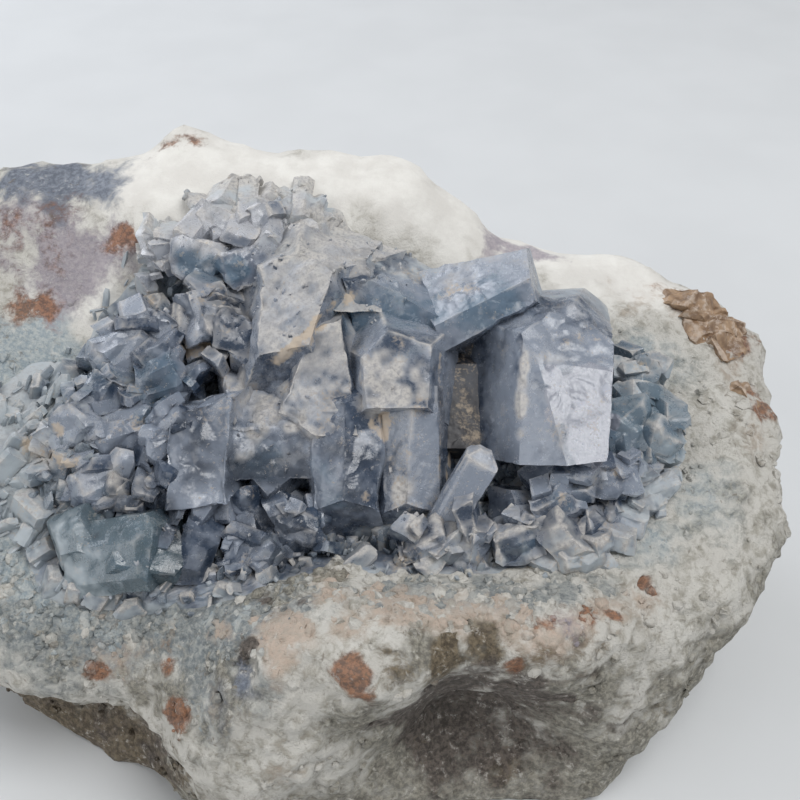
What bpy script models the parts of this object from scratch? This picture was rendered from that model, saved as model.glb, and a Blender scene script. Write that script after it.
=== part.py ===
"""A celestite crystal cluster: blue-grey blocky crystals in the hollow of a broken piece of pale rock.

The rock is one solid. The crust of small crystals that lines its hollow is a second one, and each large
crystal, or group of large crystals grown together, is a solid of its own, rooted in the crust.
+X is the viewer's right, +Y is away from the viewer and +Z is up. The rock rests on z = 0.
"""

import math

import bmesh
import bpy
import numpy as np
from mathutils import Matrix, Vector

MM = 0.001

# The rock: every surface point lies on a ray from HEART, in a space stretched by REACH.
HEART = np.array([-14.0, 2.0, 22.0]) * MM
REACH = np.array([95.0, 58.0, 55.0]) * MM
# How far the surface may pass beside a surveyed place: 0 is exactly through it.
SURVEY_EASE = 0.002
# The rock's mesh is an icosahedron with each edge split in this many.
ROCK_SPLITS = 11

# Places on the rock's surface, in mm, by the part of the rock that they are on.
SURVEY_MM = {
    "crest": [
        (-97, 42, 76), (-85, 48, 84), (-73, 50, 84), (-62, 50, 87), (-54, 52, 89), (-47, 53, 92),
        (-39, 52, 87), (-30, 51, 84), (-15, 50, 85), (-2, 50, 84), (9, 50, 77), (20, 49, 69),
        (33, 47, 65), (48, 42, 63), (60, 37, 60),
    ],
    "right end": [
        (69, 25, 57), (74, 12, 49), (76, 4, 44), (75, -5, 36), (71, -14, 30), (65, -21, 24),
        (58, -27, 19), (51, -32, 12), (62, 20, 20), (53, -8, 4),
    ],
    "front foot": [
        (45, -39, 5), (38, -46, 4), (31, -49, 3), (19, -47, 3), (6, -52, 2), (-13, -57, 3),
        (-32, -55, 2), (-43, -46, 3), (-60, -40, 3), (-72, -34, 6), (-82, -24, 4),
    ],
    "front face": [
        (35, -43, 39), (36, -48, 20), (50, -38, 36), (13, -39, 14), (9, -45, 36), (24, -46, 35),
        (-16, -46, 47), (-17, -53, 36), (-30, -56, 18), (-38, -45, 33), (-6, -52, 24),
        (-61, -43, 27), (-74, -42, 24), (-60, -38, 12), (-82, -34, 22),
    ],
    "left end": [
        (-101, 28, 68), (-105, 8, 54), (-102, -12, 42), (-92, -29, 33), (-104, 14, 30), (-92, 0, 8),
        (-94, 30, 34), (-80, -10, 4),
    ],
    "back": [
        (-80, 54, 50), (-50, 58, 50), (-15, 59, 48), (20, 56, 42), (50, 48, 38), (-70, 44, 14),
        (-30, 52, 12), (15, 50, 10), (48, 36, 10), (-52, 57, 72), (-10, 56, 68),
    ],
    "underside": [
        (-60, 4, -4), (-15, 14, -6), (30, 6, -5), (-15, -30, -5), (25, -24, -3), (-10, -6, -8), (8, 0, -7),
    ],
    "hollow rim": [
        (-75, 22, 60), (-66, 30, 64), (-58, 38, 70), (-49, 42, 79), (-33, 42, 83), (-19, 41, 84),
        (0, 38, 76), (17, 36, 67), (34, 32, 63), (51, 27, 61), (62, 20, 58), (70, 4, 54),
        (64, -14, 47), (54, -28, 44), (33, -37, 46), (21, -39, 46), (7, -39, 46), (-9, -39, 49),
        (-22, -39, 45), (-38, -38, 36), (-51, -38, 32), (-62, -34, 38), (-84, -8, 52), (-88, 10, 58),
    ],
    "hollow floor": [
        (-30, 22, 62), (-8, 20, 59), (18, 20, 56), (44, 12, 53), (-52, 16, 56), (-40, 0, 49),
        (-12, -2, 46), (14, 0, 44), (46, -4, 50), (-60, -6, 50), (-34, -22, 40), (-10, -22, 40),
        (16, -22, 40), (40, -20, 44), (-58, -24, 40), (-73, 4, 54),
    ],
}

# Lumps (height above 0) and pits (below 0): place, radius and height, in mm.
RELIEF_MM = [
    ((-46, 53, 91), 8, 8.0), ((-62, 50, 86), 7, 1.5), ((-11, 40, 80), 10, 4.0), ((66, 34, 62), 6, 3.5),
    ((72, 24, 57), 6, 3.0), ((76, 6, 46), 5, 2.0), ((50, 42, 64), 6, 1.5), ((14, -42, 22), 9, -5.0),
    ((24, -44, 18), 8, -4.0),
    ((-52, -40, 14), 11, -5.0), ((-68, -36, 14), 11, -5.0), ((36, -48, 12), 9, 2.5),
    ((-20, -52, 26), 10, 2.0), ((-36, -48, 22), 7, 2.0), ((-4, -50, 42), 7, 2.0), ((30, -42, 38), 7, 2.0),
    ((8, -48, 5), 7, 2.0), ((-16, -44, 46), 6, 1.5), ((-90, 10, 28), 12, 1.5), ((-60, 58, 40), 14, 3.5),
    ((0, 58, 36), 13, -3.5), ((30, 54, 30), 10, 3.0), ((-30, 57, 26), 9, -2.5),
]
# The rock's roughness: wavelength and height of each layer of smooth noise, in mm.
ROUGHNESS_MM = [(26.0, 2.2), (12.0, 1.5), (7.0, 0.9)]
ROUGHNESS_SEED = 3
# Large odd numbers that scatter a lattice corner's x, y, z and seed, and mix the result.
SCATTER = (374761393, 668265263, 1442695041, 974634777)
MIX = 1274126177
BITS_32 = 0xFFFFFFFF
BITS_16 = 0xFFFF

# The crust fills a recess in the rock, inside this line of places on the surface, in mm.
CRUST_EDGE_MM = [
    (-50, 39, 77), (-36, 43, 84), (-19, 42, 85), (2, 38, 76), (18, 35, 67), (34, 31, 63), (50, 25, 61),
    (63, 12, 56), (64, -6, 51), (54, -20, 47), (44, -29, 46), (33, -35, 46), (18, -36, 46), (3, -36, 46),
    (-12, -36, 49), (-24, -36, 45), (-38, -34, 37), (-52, -36, 35), (-70, -32, 37), (-83, -14, 46),
    (-86, 6, 54), (-76, 18, 58), (-64, 26, 61),
]
CRUST_THICKNESS = 7.0 * MM
CRUST_LEAST = 0.9 * MM
# How far inside the line, as an angle at HEART, the crust reaches its full thickness.
CRUST_EDGE_WIDTH = 0.16
# On the unit sphere: a point this near to the line is moved onto it, and then counts as inside it.
OUTLINE_NEAR = 0.045
OUTLINE_SLACK = 1e-6
# The gap between neighbouring solids, and the angle under which two faces count as one flat face.
GAP = 0.35 * MM
FLAT_ANGLE = math.radians(0.3)
# Corners this near are one corner, on a cut crystal and on what a Boolean leaves.
CORNER_MERGE = 0.02 * MM
BOOLEAN_MERGE = 0.004 * MM


def unit(vectors):
    """Each row at length 1."""
    return vectors / np.linalg.norm(vectors, axis=1)[:, None]


def lattice_value(x, y, z, seed):
    """A fixed pseudo-random value from -1 to 1 for each corner of a unit lattice."""
    mixed = sum(value * step for value, step in zip((x, y, z, seed), SCATTER)) & BITS_32
    mixed = ((mixed ^ (mixed >> 13)) * MIX) & BITS_32
    return ((mixed ^ (mixed >> 16)) & BITS_16) / (BITS_16 / 2) - 1.0


def smooth_noise(points, seed):
    """Smooth noise from -1 to 1, with one lattice cell for each unit of length."""
    cell = np.floor(points).astype(np.int64)
    share = points - cell
    share = share * share * (3.0 - 2.0 * share)
    total = np.zeros(len(points))
    for corner in np.ndindex(2, 2, 2):
        step = np.array(corner)
        weight = np.where(step, share, 1.0 - share).prod(axis=1)
        total += weight * lattice_value(*(cell + step).T, seed)
    return total


def spread(directions, places):
    """The chord from each direction to each place on the unit sphere."""
    return np.sqrt(np.maximum(2.0 - 2.0 * directions @ places.T, 0.0))


def fit_survey():
    """The cubic spline over the unit sphere that passes by every surveyed place."""
    places = np.array([p for group in SURVEY_MM.values() for p in group]) * MM
    stretched = (places - HEART) / REACH
    radius = np.linalg.norm(stretched, axis=1)
    knots = stretched / radius[:, None]
    count = len(knots)
    plain = np.hstack([np.ones((count, 1)), knots])
    system = np.zeros((count + 4, count + 4))
    system[:count, :count] = spread(knots, knots) ** 3 + SURVEY_EASE * np.eye(count)
    system[:count, count:] = plain
    system[count:, :count] = plain.T
    weights = np.linalg.solve(system, np.concatenate([radius, np.zeros(4)]))
    return knots, weights


KNOTS, WEIGHTS = fit_survey()


def rock_surface(directions, sunk=0.0):
    """Points of the rock's outside on the rays along these directions, sunk inwards by a depth."""
    plain = np.hstack([np.ones((len(directions), 1)), directions])
    radius = spread(directions, KNOTS) ** 3 @ WEIGHTS[:-4] + plain @ WEIGHTS[-4:]
    ray = directions * REACH
    reach = np.linalg.norm(ray, axis=1)
    ray = ray / reach[:, None]
    distance = radius * reach
    points = HEART + ray * distance[:, None]
    for place, width, height in RELIEF_MM:
        away = np.linalg.norm(points - np.array(place) * MM, axis=1) / (width * MM)
        distance = distance + height * MM * np.exp(-away * away)
    for layer, (wavelength, height) in enumerate(ROUGHNESS_MM):
        noise = smooth_noise(points / (wavelength * MM), ROUGHNESS_SEED + layer)
        distance = distance + height * MM * noise
    points = HEART + ray * (distance - sunk)[:, None]
    below = np.minimum(points[:, 2], 0.0)
    return HEART + (points - HEART) * (HEART[2] / (HEART[2] - below))[:, None]


def crust_frame():
    """The middle of the crust's outline on the unit sphere, and the two directions across it."""
    edge = unit((np.array(CRUST_EDGE_MM) * MM - HEART) / REACH)
    middle = unit(edge.mean(axis=0)[None])[0]
    east = unit(np.cross([0.0, 1.0, 0.0], middle)[None])[0]
    return edge, middle, east, np.cross(middle, east)


def crust_polar(directions):
    """Each direction's turn and reach from the middle of the crust, and the outline's reach at that turn."""
    edge, middle, east, north = crust_frame()
    edge_turn = np.arctan2(edge @ north, edge @ east)
    edge_reach = np.arccos(np.clip(edge @ middle, -1, 1))
    order = np.argsort(edge_turn)
    turn = np.arctan2(directions @ north, directions @ east)
    reach = np.arccos(np.clip(directions @ middle, -1, 1))
    limit = np.interp(turn, edge_turn[order], edge_reach[order], period=2 * math.pi)
    return turn, reach, limit


def crust_share(directions):
    """0 on bare rock, rising to 1 inside the line round the crust."""
    _, reach, limit = crust_polar(directions)
    share = np.clip((limit - reach) / CRUST_EDGE_WIDTH, 0.0, 1.0)
    return share * share * (3.0 - 2.0 * share)


def fit_to_outline(directions, nearest):
    """The directions, with those within this angle of the crust's outline moved onto it."""
    _, middle, east, north = crust_frame()
    turn, reach, limit = crust_polar(directions)
    aside = np.cos(turn)[:, None] * east + np.sin(turn)[:, None] * north
    fitted = np.cos(limit)[:, None] * middle + np.sin(limit)[:, None] * aside
    return np.where((np.abs(limit - reach) < nearest)[:, None], fitted, directions)


# The large crystals grow out of a slope that faces the viewer. Its frame, in which they are laid out, has
# its origin here, x to the right, y up the slope and z straight out of it.
SLOPE_ORIGIN = Vector((0.0, 0.0, 60.0)) * MM
SLOPE_TILT = math.radians(40)
SLOPE_SIN, SLOPE_COS = math.sin(SLOPE_TILT), math.cos(SLOPE_TILT)
SLOPE = Matrix(((1, 0, 0), (0, SLOPE_SIN, -SLOPE_COS), (0, SLOPE_COS, SLOPE_SIN)))

# How a crystal's end is cut: the slope of its two faces across the width, in degrees, and the share of
# the width that they take, then the same two across the depth.
ENDS = {
    "block": (48, 0.16, 45, 0.14),
    "roof": (38, 0.85, 50, 0.12),
    "chisel": (50, 0.14, 40, 0.90),
    "point": (42, 0.70, 46, 0.60),
    "wedge": (30, 0.30, 34, 0.55),
}
# The four faces that cut a prism's corners: their turn, and the share of the corner that they take.
PRISM_TURN = math.radians(38)
CORNER_CUT = 0.16
# What chance does to each crystal: its faces lean by degrees, and the shares of its cuts change.
FACE_LEAN = 2.0
CORNER_CHANCE = 0.06
END_CHANCE = 0.45
SEED_STEP = 31
# The cube that a crystal is cut from, next to its farthest face.
CUBE_SHARE = 8


def leaned(normal, seed, degrees):
    """The normal leaning by up to these degrees, in a way that the seed fixes."""
    lean = np.array([lattice_value(seed, k, 7, 11) for k in range(3)]) * math.radians(degrees)
    return Vector(np.array(normal, float) + lean).normalized()


def grown(place, axis, side, size, end, seed, corners=4):
    """A crystal whose free end is at the place, as (place, [(normal, distance) of each face])."""
    width, depth, length = size[0] / 2, size[1] / 2, size[2]
    faces = [((1, 0, 0), width), ((-1, 0, 0), width), ((0, 1, 0), depth), ((0, -1, 0), depth)]
    turn_cos, turn_sin = math.cos(PRISM_TURN), math.sin(PRISM_TURN)
    corner = width * turn_cos + depth * turn_sin
    for k, (sx, sy) in enumerate(((1, 1), (-1, 1), (-1, -1), (1, -1))[:corners]):
        cut = CORNER_CUT + CORNER_CHANCE * lattice_value(seed, k, 5, 2)
        faces.append(((sx * turn_cos, sy * turn_sin, 0), corner * (1 - cut)))
    side_slope, side_share, deep_slope, deep_share = ENDS[end]
    for k, sign in enumerate((1, -1)):
        slope = math.radians(side_slope)
        share = side_share * (1 + END_CHANCE * lattice_value(seed, k, 1, 4))
        faces.append(((sign * math.sin(slope), 0, math.cos(slope)), width * math.sin(slope) * (1 - share)))
        slope = math.radians(deep_slope)
        share = deep_share * (1 + END_CHANCE * lattice_value(seed, k, 3, 6))
        faces.append(((0, sign * math.sin(slope), math.cos(slope)), depth * math.sin(slope) * (1 - share)))
    faces.append(((0, 0, 1), 0.0))
    faces.append(((0, 0, -1), length))
    up = Vector(axis).normalized()
    across = Vector(side)
    across = (across - up * across.dot(up)).normalized()
    turn = Matrix((across, up.cross(across), up)).transposed()
    planes = []
    for number, (normal, distance) in enumerate(faces):
        planes.append((turn @ leaned(normal, seed * SEED_STEP + number, FACE_LEAN), distance))
    return Vector(place), planes


def faced(place, *faces):
    """A crystal whose faces are each given as x, y, z of its normal and its distance from the place."""
    return Vector(place), [(Vector(face[:3]).normalized(), face[3]) for face in faces]


def on_slope(crystal):
    """The crystal taken from the slope's frame, in mm, to the world, in metres."""
    place, planes = crystal
    turned = [(SLOPE @ normal, distance * MM) for normal, distance in planes]
    return SLOPE_ORIGIN + SLOPE @ place * MM, turned


CRYSTALS = {
    "crystal_right_block": [
        faced((30.3, 0, 11), (0.15, 0.30, 0.94, 0), (-0.48, 0.13, 0.87, 2.1), (-0.88, 0.10, 0.47, 6.2),
              (0.98, -0.10, 0.10, 8.2), (0.75, 0.05, 0.66, 6.1), (0.17, 0.52, 0.84, 1.65),
              (0, 0.97, 0.25, 15.5), (0.08, -0.99, -0.12, 11.1), (-0.38, 0, -0.92, 24)),
    ],
    "crystal_middle_prism": [
        faced((-0.7, 4.6, 8), (-0.05, 0.15, 0.98, 0), (-0.90, 0, 0.43, 5.3), (0.93, 0, 0.37, 5.9),
              (-0.62, 0.62, 0.48, 5.4), (0.25, 0.87, 0.42, 6.3), (0, -0.95, 0.30, 6.2), (0, 0, -1, 15)),
        faced((1.9, -9.3, 7), (-0.50, 0.05, 0.86, 1.0), (0.35, 0, 0.94, 1.0), (-0.95, 0, 0.30, 4.4),
              (0.97, 0.02, 0.25, 5.0), (0, 1, 0, 12), (0, -0.80, 0.60, 8.8), (0, 0, -1, 16)),
    ],
    "crystal_centre_column": [
        faced((-10.2, -8.3, 8), (-0.45, 0.10, 0.89, 1.2), (0.40, 0.10, 0.91, 1.2), (-0.97, 0, 0.20, 6.0),
              (0.97, 0, 0.20, 6.6), (0, 0.80, 0.60, 6.8), (0, -0.75, 0.66, 9.2), (0, 0, -1, 16)),
    ],
    "crystal_left_tower": [
        faced((-19.0, 18, 3), (-0.20, 0.30, 0.93, 0), (-0.90, 0.12, 0.42, 6.8), (0.80, -0.10, 0.60, 4.2),
              (0.30, 0.80, 0.50, 7.5), (-0.45, 0.75, 0.48, 7.6), (0, -0.60, 0.80, 7.0), (0, 0, -1, 18)),
        faced((-13.6, 2, 6), (-0.05, 0.15, 0.98, 0), (-0.85, 0.40, 0.35, 6.5), (0.93, 0.20, 0.30, 4.6),
              (-0.35, 0.85, 0.40, 10), (-0.50, -0.70, 0.50, 8), (0, -0.80, 0.60, 8.0), (0, 0, -1, 18)),
        faced((-12.0, 21, -1), (0.10, 0.35, 0.93, 0), (-0.90, 0, 0.40, 6.5), (0.85, 0.35, 0.40, 6.5),
              (0, 0.90, 0.43, 5.5), (0, -0.97, 0.20, 4.5), (0, 0, -1, 14)),
    ],
    "crystal_left_block": [
        faced((-24.2, -4.6, 6), (0, 0.72, 0.69, 0), (0.05, -0.12, 0.99, 0), (-0.95, 0.05, 0.30, 7.5),
              (0.90, 0.10, 0.40, 7.6), (0, 0.97, 0.20, 7.5), (0, -0.97, -0.20, 11), (0, 0, -1, 14)),
    ],
    "crystal_back_ridge": [
        faced((0, 17.3, -1), (-0.08, -0.18, 0.98, 0), (-0.93, -0.26, 0.25, 9.0), (0, -0.97, 0.20, 6.5),
              (0.42, 0.75, 0.50, 2.4), (0, 0.90, 0.43, 5.6), (0.90, 0.20, 0.40, 7.5), (0, 0, -1, 16)),
        faced((16.2, 16.2, 1), (0, -0.10, 0.99, 0), (-0.36, 0.66, 0.66, 2.0), (0.47, -0.87, 0.12, 2.4),
              (0.93, 0.25, 0.25, 10), (-0.90, -0.30, 0.20, 9.5), (-0.20, 0.97, 0.10, 11), (0, 0, -1, 14)),
    ],
    "crystal_cavity": [
        faced((12.3, -2.1, -3), (0.05, 0.25, 0.97, 0), (-0.97, 0, 0.25, 4.0), (0.95, 0.05, 0.30, 4.2),
              (0, 0.90, 0.43, 7.3), (0, -0.95, 0.30, 7.5), (0, 0, -1, 10)),
        faced((13.9, 9.5, -8), (-0.20, -0.25, 0.95, 0), (-0.97, 0, 0.20, 5.0), (0.97, 0.05, 0.20, 6.0),
              (0, 0.97, 0.20, 6.0), (0, -0.97, 0.20, 7.0), (0, 0, -1, 8)),
    ],
    "crystal_small_prism": [
        grown((15.8, -9.1, 11), (0.47, 0.85, 0.25), (1, 0, 0), (6.5, 5.5, 17), "point", 3),
    ],
    "crystal_right_cluster": [
        grown((44.2, -4.6, 6), (0.25, -0.10, 0.97), (1, 0.2, 0), (13, 11, 15), "roof", 1),
        grown((51.0, -8.5, 6), (0.35, -0.20, 0.92), (1, -0.3, 0), (9, 8, 13), "wedge", 2),
        grown((47.0, 5.0, 1), (0.30, 0.10, 0.95), (1, 0, 0), (9, 6, 10), "block", 4),
    ],
    "crystal_upper_blades": [
        grown((-39.7, 27.5, -7), (0.10, -0.30, 0.95), (1, -0.4, 0), (12, 9, 18), "block", 5),
        grown((-30.5, 26.0, -6), (0.05, -0.30, 0.95), (1, 0.3, 0), (10, 9, 18), "block", 6),
        grown((-48.4, 28.0, -8), (-0.10, -0.25, 0.95), (1, -0.1, 0), (8, 8, 16), "chisel", 7),
        grown((-36.6, 34.5, -9), (0, -0.15, 0.98), (1, -0.5, 0), (12, 9, 16), "wedge", 8),
        grown((-27.5, 34.0, -8), (0.05, -0.20, 0.97), (1, 0.2, 0), (9, 10, 16), "roof", 9),
        grown((-20.5, 32.0, -8), (0.10, -0.25, 0.96), (0.3, 1, 0), (12, 7, 16), "block", 10),
        grown((-20.3, 39.0, -12), (0.05, 0, 1), (1, 0.1, 0), (11, 6, 14), "wedge", 11),
    ],
    "crystal_dusty_pair": [
        grown((-39.0, 17.0, -2), (-0.05, 0.15, 0.98), (1, 0.3, 0), (13, 11, 14), "roof", 12),
        grown((-31.5, 12.5, -1), (0.10, 0.10, 0.98), (1, -0.4, 0), (10, 9, 12), "block", 13),
    ],
    "crystal_deep_blue": [
        grown((-44.8, 4.0, 3), (0.25, -0.15, 0.95), (1, 0.5, 0), (11, 10, 12), "wedge", 14),
    ],
    "crystal_left_plate": [
        faced((-37.2, -10.6, 9), (0.05, 0.10, 0.99, 0), (-0.97, 0, 0.20, 5.8), (0.95, 0, 0.30, 5.4),
              (-0.25, 0.95, 0.20, 9.0), (-0.70, 0.70, 0.30, 9.2), (0.05, -0.97, -0.20, 9.0), (0, 0, -1, 12)),
    ],
    "crystal_dark_wedge": [
        grown((-36.5, -27.0, 12), (0.25, 0.10, 0.95), (0.4, 1, 0), (13, 7, 12), "point", 15),
    ],
    "crystal_glassy_block": [
        grown((-53.5, -28.5, 14), (-0.25, -0.05, 0.97), (1, 0.15, 0), (18, 14, 14), "wedge", 16),
        grown((-45.0, -29.5, 15), (0.20, -0.20, 0.96), (1, -0.25, 0), (13, 12, 13), "chisel", 20),
        grown((-61.0, -26.0, 12), (-0.40, 0, 0.92), (1, 0.3, 0), (10, 12, 11), "point", 21),
    ],
    "crystal_left_heap": [
        grown((-53.0, 10.0, 1), (0.30, -0.10, 0.95), (1, 0.6, 0), (12, 8, 12), "wedge", 22),
        grown((-57.5, 1.5, 4), (-0.10, 0.20, 0.97), (1, -0.4, 0), (11, 8, 12), "roof", 23),
        grown((-51.5, -5.0, 6), (0.30, 0.10, 0.95), (1, 0.2, 0), (10, 9, 12), "chisel", 24),
        grown((-63.0, -6.0, 8), (-0.30, -0.10, 0.95), (1, 0.8, 0), (12, 7, 12), "block", 25),
        grown((-55.5, -15.0, 9), (0.10, 0, 1), (1, 0.5, 0), (12, 8, 12), "wedge", 26),
        grown((-46.5, -17.5, 9), (0.35, -0.10, 0.93), (0.3, 1, 0), (10, 6, 11), "point", 27),
        grown((-46.0, 13.0, -2), (0.15, 0.05, 0.98), (1, -0.7, 0), (9, 8, 12), "block", 28),
    ],
    "crystal_front_row": [
        grown((-27.0, -20.5, 9), (0.10, 0.10, 0.99), (1, 0.4, 0), (11, 9, 11), "roof", 29),
        grown((-19.0, -24.5, 11), (0.05, -0.20, 0.98), (1, -0.3, 0), (9, 8, 10), "wedge", 30),
        grown((-27.5, -30.0, 13), (-0.10, -0.30, 0.95), (1, 0.2, 0), (10, 8, 10), "chisel", 31),
    ],
    "crystal_front_right": [
        grown((4.5, -27.0, 12), (-0.10, -0.20, 0.98), (1, 0.5, 0), (9, 8, 10), "wedge", 32),
        grown((13.5, -28.0, 13), (0.10, -0.25, 0.96), (1, -0.2, 0), (9, 9, 10), "roof", 33),
        grown((22.0, -26.5, 12), (0.10, -0.20, 0.97), (1, 0.3, 0), (10, 7, 10), "block", 34),
        grown((33.5, -29.0, 13), (0.20, -0.25, 0.94), (1, 0.1, 0), (11, 9, 10), "wedge", 35),
    ],
    "crystal_under_right": [
        grown((29.0, -20.0, 11), (0.10, -0.20, 0.95), (1, 0.6, 0), (10, 8, 10), "wedge", 17),
        grown((40.5, -15.0, 9), (0.30, -0.10, 0.95), (1, 0.1, 0), (14, 6, 10), "block", 18),
    ],
}


def crystal_mesh(crystal, swell=0.0):
    """A convex crystal: a cube cut by the plane of each face in turn. Each face is moved out by the swell."""
    place, planes = crystal
    shape = bmesh.new()
    bmesh.ops.create_cube(shape, size=CUBE_SHARE * max(distance for normal, distance in planes))
    for normal, distance in planes:
        cut = bmesh.ops.bisect_plane(
            shape, geom=shape.verts[:] + shape.edges[:] + shape.faces[:],
            plane_co=normal * (distance + swell), plane_no=normal, clear_outer=True,
        )
        rim = [e for e in cut["geom_cut"] if isinstance(e, bmesh.types.BMEdge)]
        if rim:
            bmesh.ops.contextual_create(shape, geom=rim)
    bmesh.ops.translate(shape, vec=place, verts=shape.verts)
    bmesh.ops.remove_doubles(shape, verts=shape.verts, dist=CORNER_MERGE)
    bmesh.ops.recalc_face_normals(shape, faces=shape.faces)
    mesh = bpy.data.meshes.new("crystal")
    shape.to_mesh(mesh)
    shape.free()
    return mesh


def add_object(name, mesh, material=None):
    """A named object that holds the mesh."""
    made = bpy.data.objects.new(name, mesh)
    bpy.context.scene.collection.objects.link(made)
    if material:
        mesh.materials.clear()
        mesh.materials.append(material)
    return made


def helpers(name, meshes):
    """A collection of hidden objects, one for each mesh, that a Boolean reads."""
    group = bpy.data.collections.new(name)
    bpy.context.scene.collection.children.link(group)
    for number, mesh in enumerate(meshes):
        helper = bpy.data.objects.new(f"{name}_{number}", mesh)
        helper.hide_render = True
        helper.display_type = "WIRE"
        group.objects.link(helper)
    group.hide_render = True
    return group


def combine(target, operation, group):
    """Joins the group to the target, or cuts the target with it, and keeps the largest body that is left."""
    boolean = target.modifiers.new(operation.title(), "BOOLEAN")
    boolean.operation = operation
    boolean.operand_type = "COLLECTION"
    boolean.collection = group
    boolean.solver = "EXACT"
    bpy.context.view_layer.update()
    graph = bpy.context.evaluated_depsgraph_get()
    made = bpy.data.meshes.new_from_object(target.evaluated_get(graph))
    target.modifiers.clear()
    target.data = made
    keep_largest(made)


def keep_largest(mesh):
    """Deletes every loose island of a mesh but the one with the most faces."""
    shape = bmesh.new()
    shape.from_mesh(mesh)
    bmesh.ops.remove_doubles(shape, verts=shape.verts, dist=BOOLEAN_MERGE)
    left = set(shape.faces)
    islands = []
    while left:
        island = set()
        front = [left.pop()]
        while front:
            face = front.pop()
            island.add(face)
            near = {other for edge in face.edges for other in edge.link_faces} & left
            left -= near
            front.extend(near)
        islands.append(island)
    islands.sort(key=len)
    spare = [face for island in islands[:-1] for face in island]
    bmesh.ops.delete(shape, geom=spare, context="FACES")
    bmesh.ops.dissolve_limit(shape, angle_limit=FLAT_ANGLE, verts=shape.verts, edges=shape.edges)
    bmesh.ops.triangulate(shape, faces=shape.faces)
    shape.to_mesh(mesh)
    shape.free()


def sphere(splits):
    """Unit directions and triangles of an icosahedron with each edge split in this many."""
    shape = bmesh.new()
    bmesh.ops.create_icosphere(shape, subdivisions=1, radius=1.0)
    bmesh.ops.subdivide_edges(shape, edges=shape.edges, cuts=splits - 1, use_grid_fill=True)
    directions = np.array([v.co[:] for v in shape.verts])
    triangles = np.array([[v.index for v in f.verts] for f in shape.faces])
    shape.free()
    return unit(directions), triangles


def mesh_from(name, points, faces):
    """A mesh of these points and faces, with its normals facing out."""
    mesh = bpy.data.meshes.new(name)
    mesh.from_pydata(points.tolist(), [], faces.tolist())
    shape = bmesh.new()
    shape.from_mesh(mesh)
    bmesh.ops.recalc_face_normals(shape, faces=shape.faces)
    shape.to_mesh(mesh)
    shape.free()
    return mesh


def rock_mesh(directions, triangles, swell=0.0):
    """The rock, with the recess that the crust fills. Its surface is moved out by the swell."""
    sunk = crust_share(directions) * CRUST_THICKNESS - swell
    return mesh_from("rock", rock_surface(directions, sunk), triangles)


def crust_mesh(directions, triangles):
    """The shell of crust: the rock's recess with a gap under it, and a thin edge all round."""
    _, reach, limit = crust_polar(directions)
    depth = crust_share(directions) * CRUST_THICKNESS
    inside = (reach[triangles] < limit[triangles] + OUTLINE_SLACK).all(axis=1)
    patch = triangles[inside]
    used, patch = np.unique(patch, return_inverse=True)
    patch = patch.reshape(-1, 3)
    depth = depth[used]
    under = rock_surface(directions[used], depth - GAP)
    top = rock_surface(directions[used], depth - np.maximum(depth, CRUST_LEAST) - GAP)
    count = len(used)
    ends = np.concatenate([patch[:, [0, 1]], patch[:, [1, 2]], patch[:, [2, 0]]])
    pairs = {tuple(e) for e in ends.tolist()}
    rim = np.array([e for e in ends.tolist() if (e[1], e[0]) not in pairs])
    wall = np.concatenate(
        [np.column_stack([rim[:, 1], rim[:, 0], rim[:, 0] + count]),
         np.column_stack([rim[:, 1], rim[:, 0] + count, rim[:, 1] + count])]
    )
    faces = np.concatenate([patch, patch[:, ::-1] + count, wall])
    return mesh_from("crust", np.concatenate([top, under]), faces)


# The small crystals of the crust. They stand where its share is nearly 1, clear of the large crystals.
SMALL_TRIES = 2600
SMALL_SHARE = 0.96
SMALL_SPACING = 6.4 * MM
SMALL_CLEARANCE = 1.5 * MM
SMALL_WIDTH = (5.0 * MM, 10.0 * MM)
SMALL_STAND = (1.5 * MM, 4.5 * MM)
SMALL_FLATTEST = 0.6
SMALL_LEAN = 1.3
SMALL_FLOOR = 2.4 * MM
SMALL_ENDS = ("roof", "block", "wedge", "chisel", "point")
SMALL_SEED = 5
SMALL_FIRST_SEED = 100
ROOT_TRIM = 0.7 * GAP
NORMAL_STEP = 0.02


def inside_any(point, crystals, margin):
    """Whether the point is inside one of the crystals, or within the margin of it."""
    for place, planes in crystals:
        if all((point - place).dot(normal) < distance + margin for normal, distance in planes):
            return True
    return False


def even_directions(count):
    """Directions spread evenly over the unit sphere, along a spiral from pole to pole."""
    step = np.arange(count) + 0.5
    lift = 1 - 2 * step / count
    turn = step * math.pi * (3 - math.sqrt(5))
    flat = np.sqrt(1 - lift * lift)
    return np.stack([flat * np.cos(turn), flat * np.sin(turn), lift], axis=1)


def surface_normals(directions, points):
    """The outward normal of the rock's surface at each point, from two steps aside."""
    east = rock_surface(unit(directions + np.array([NORMAL_STEP, 0, 0]))) - points
    north = rock_surface(unit(directions + np.array([0, NORMAL_STEP, 0]))) - points
    return unit(np.cross(east, north))


def between(limits, share):
    """The value that lies this share of the way from the first limit to the second."""
    return limits[0] + (limits[1] - limits[0]) * share


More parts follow.
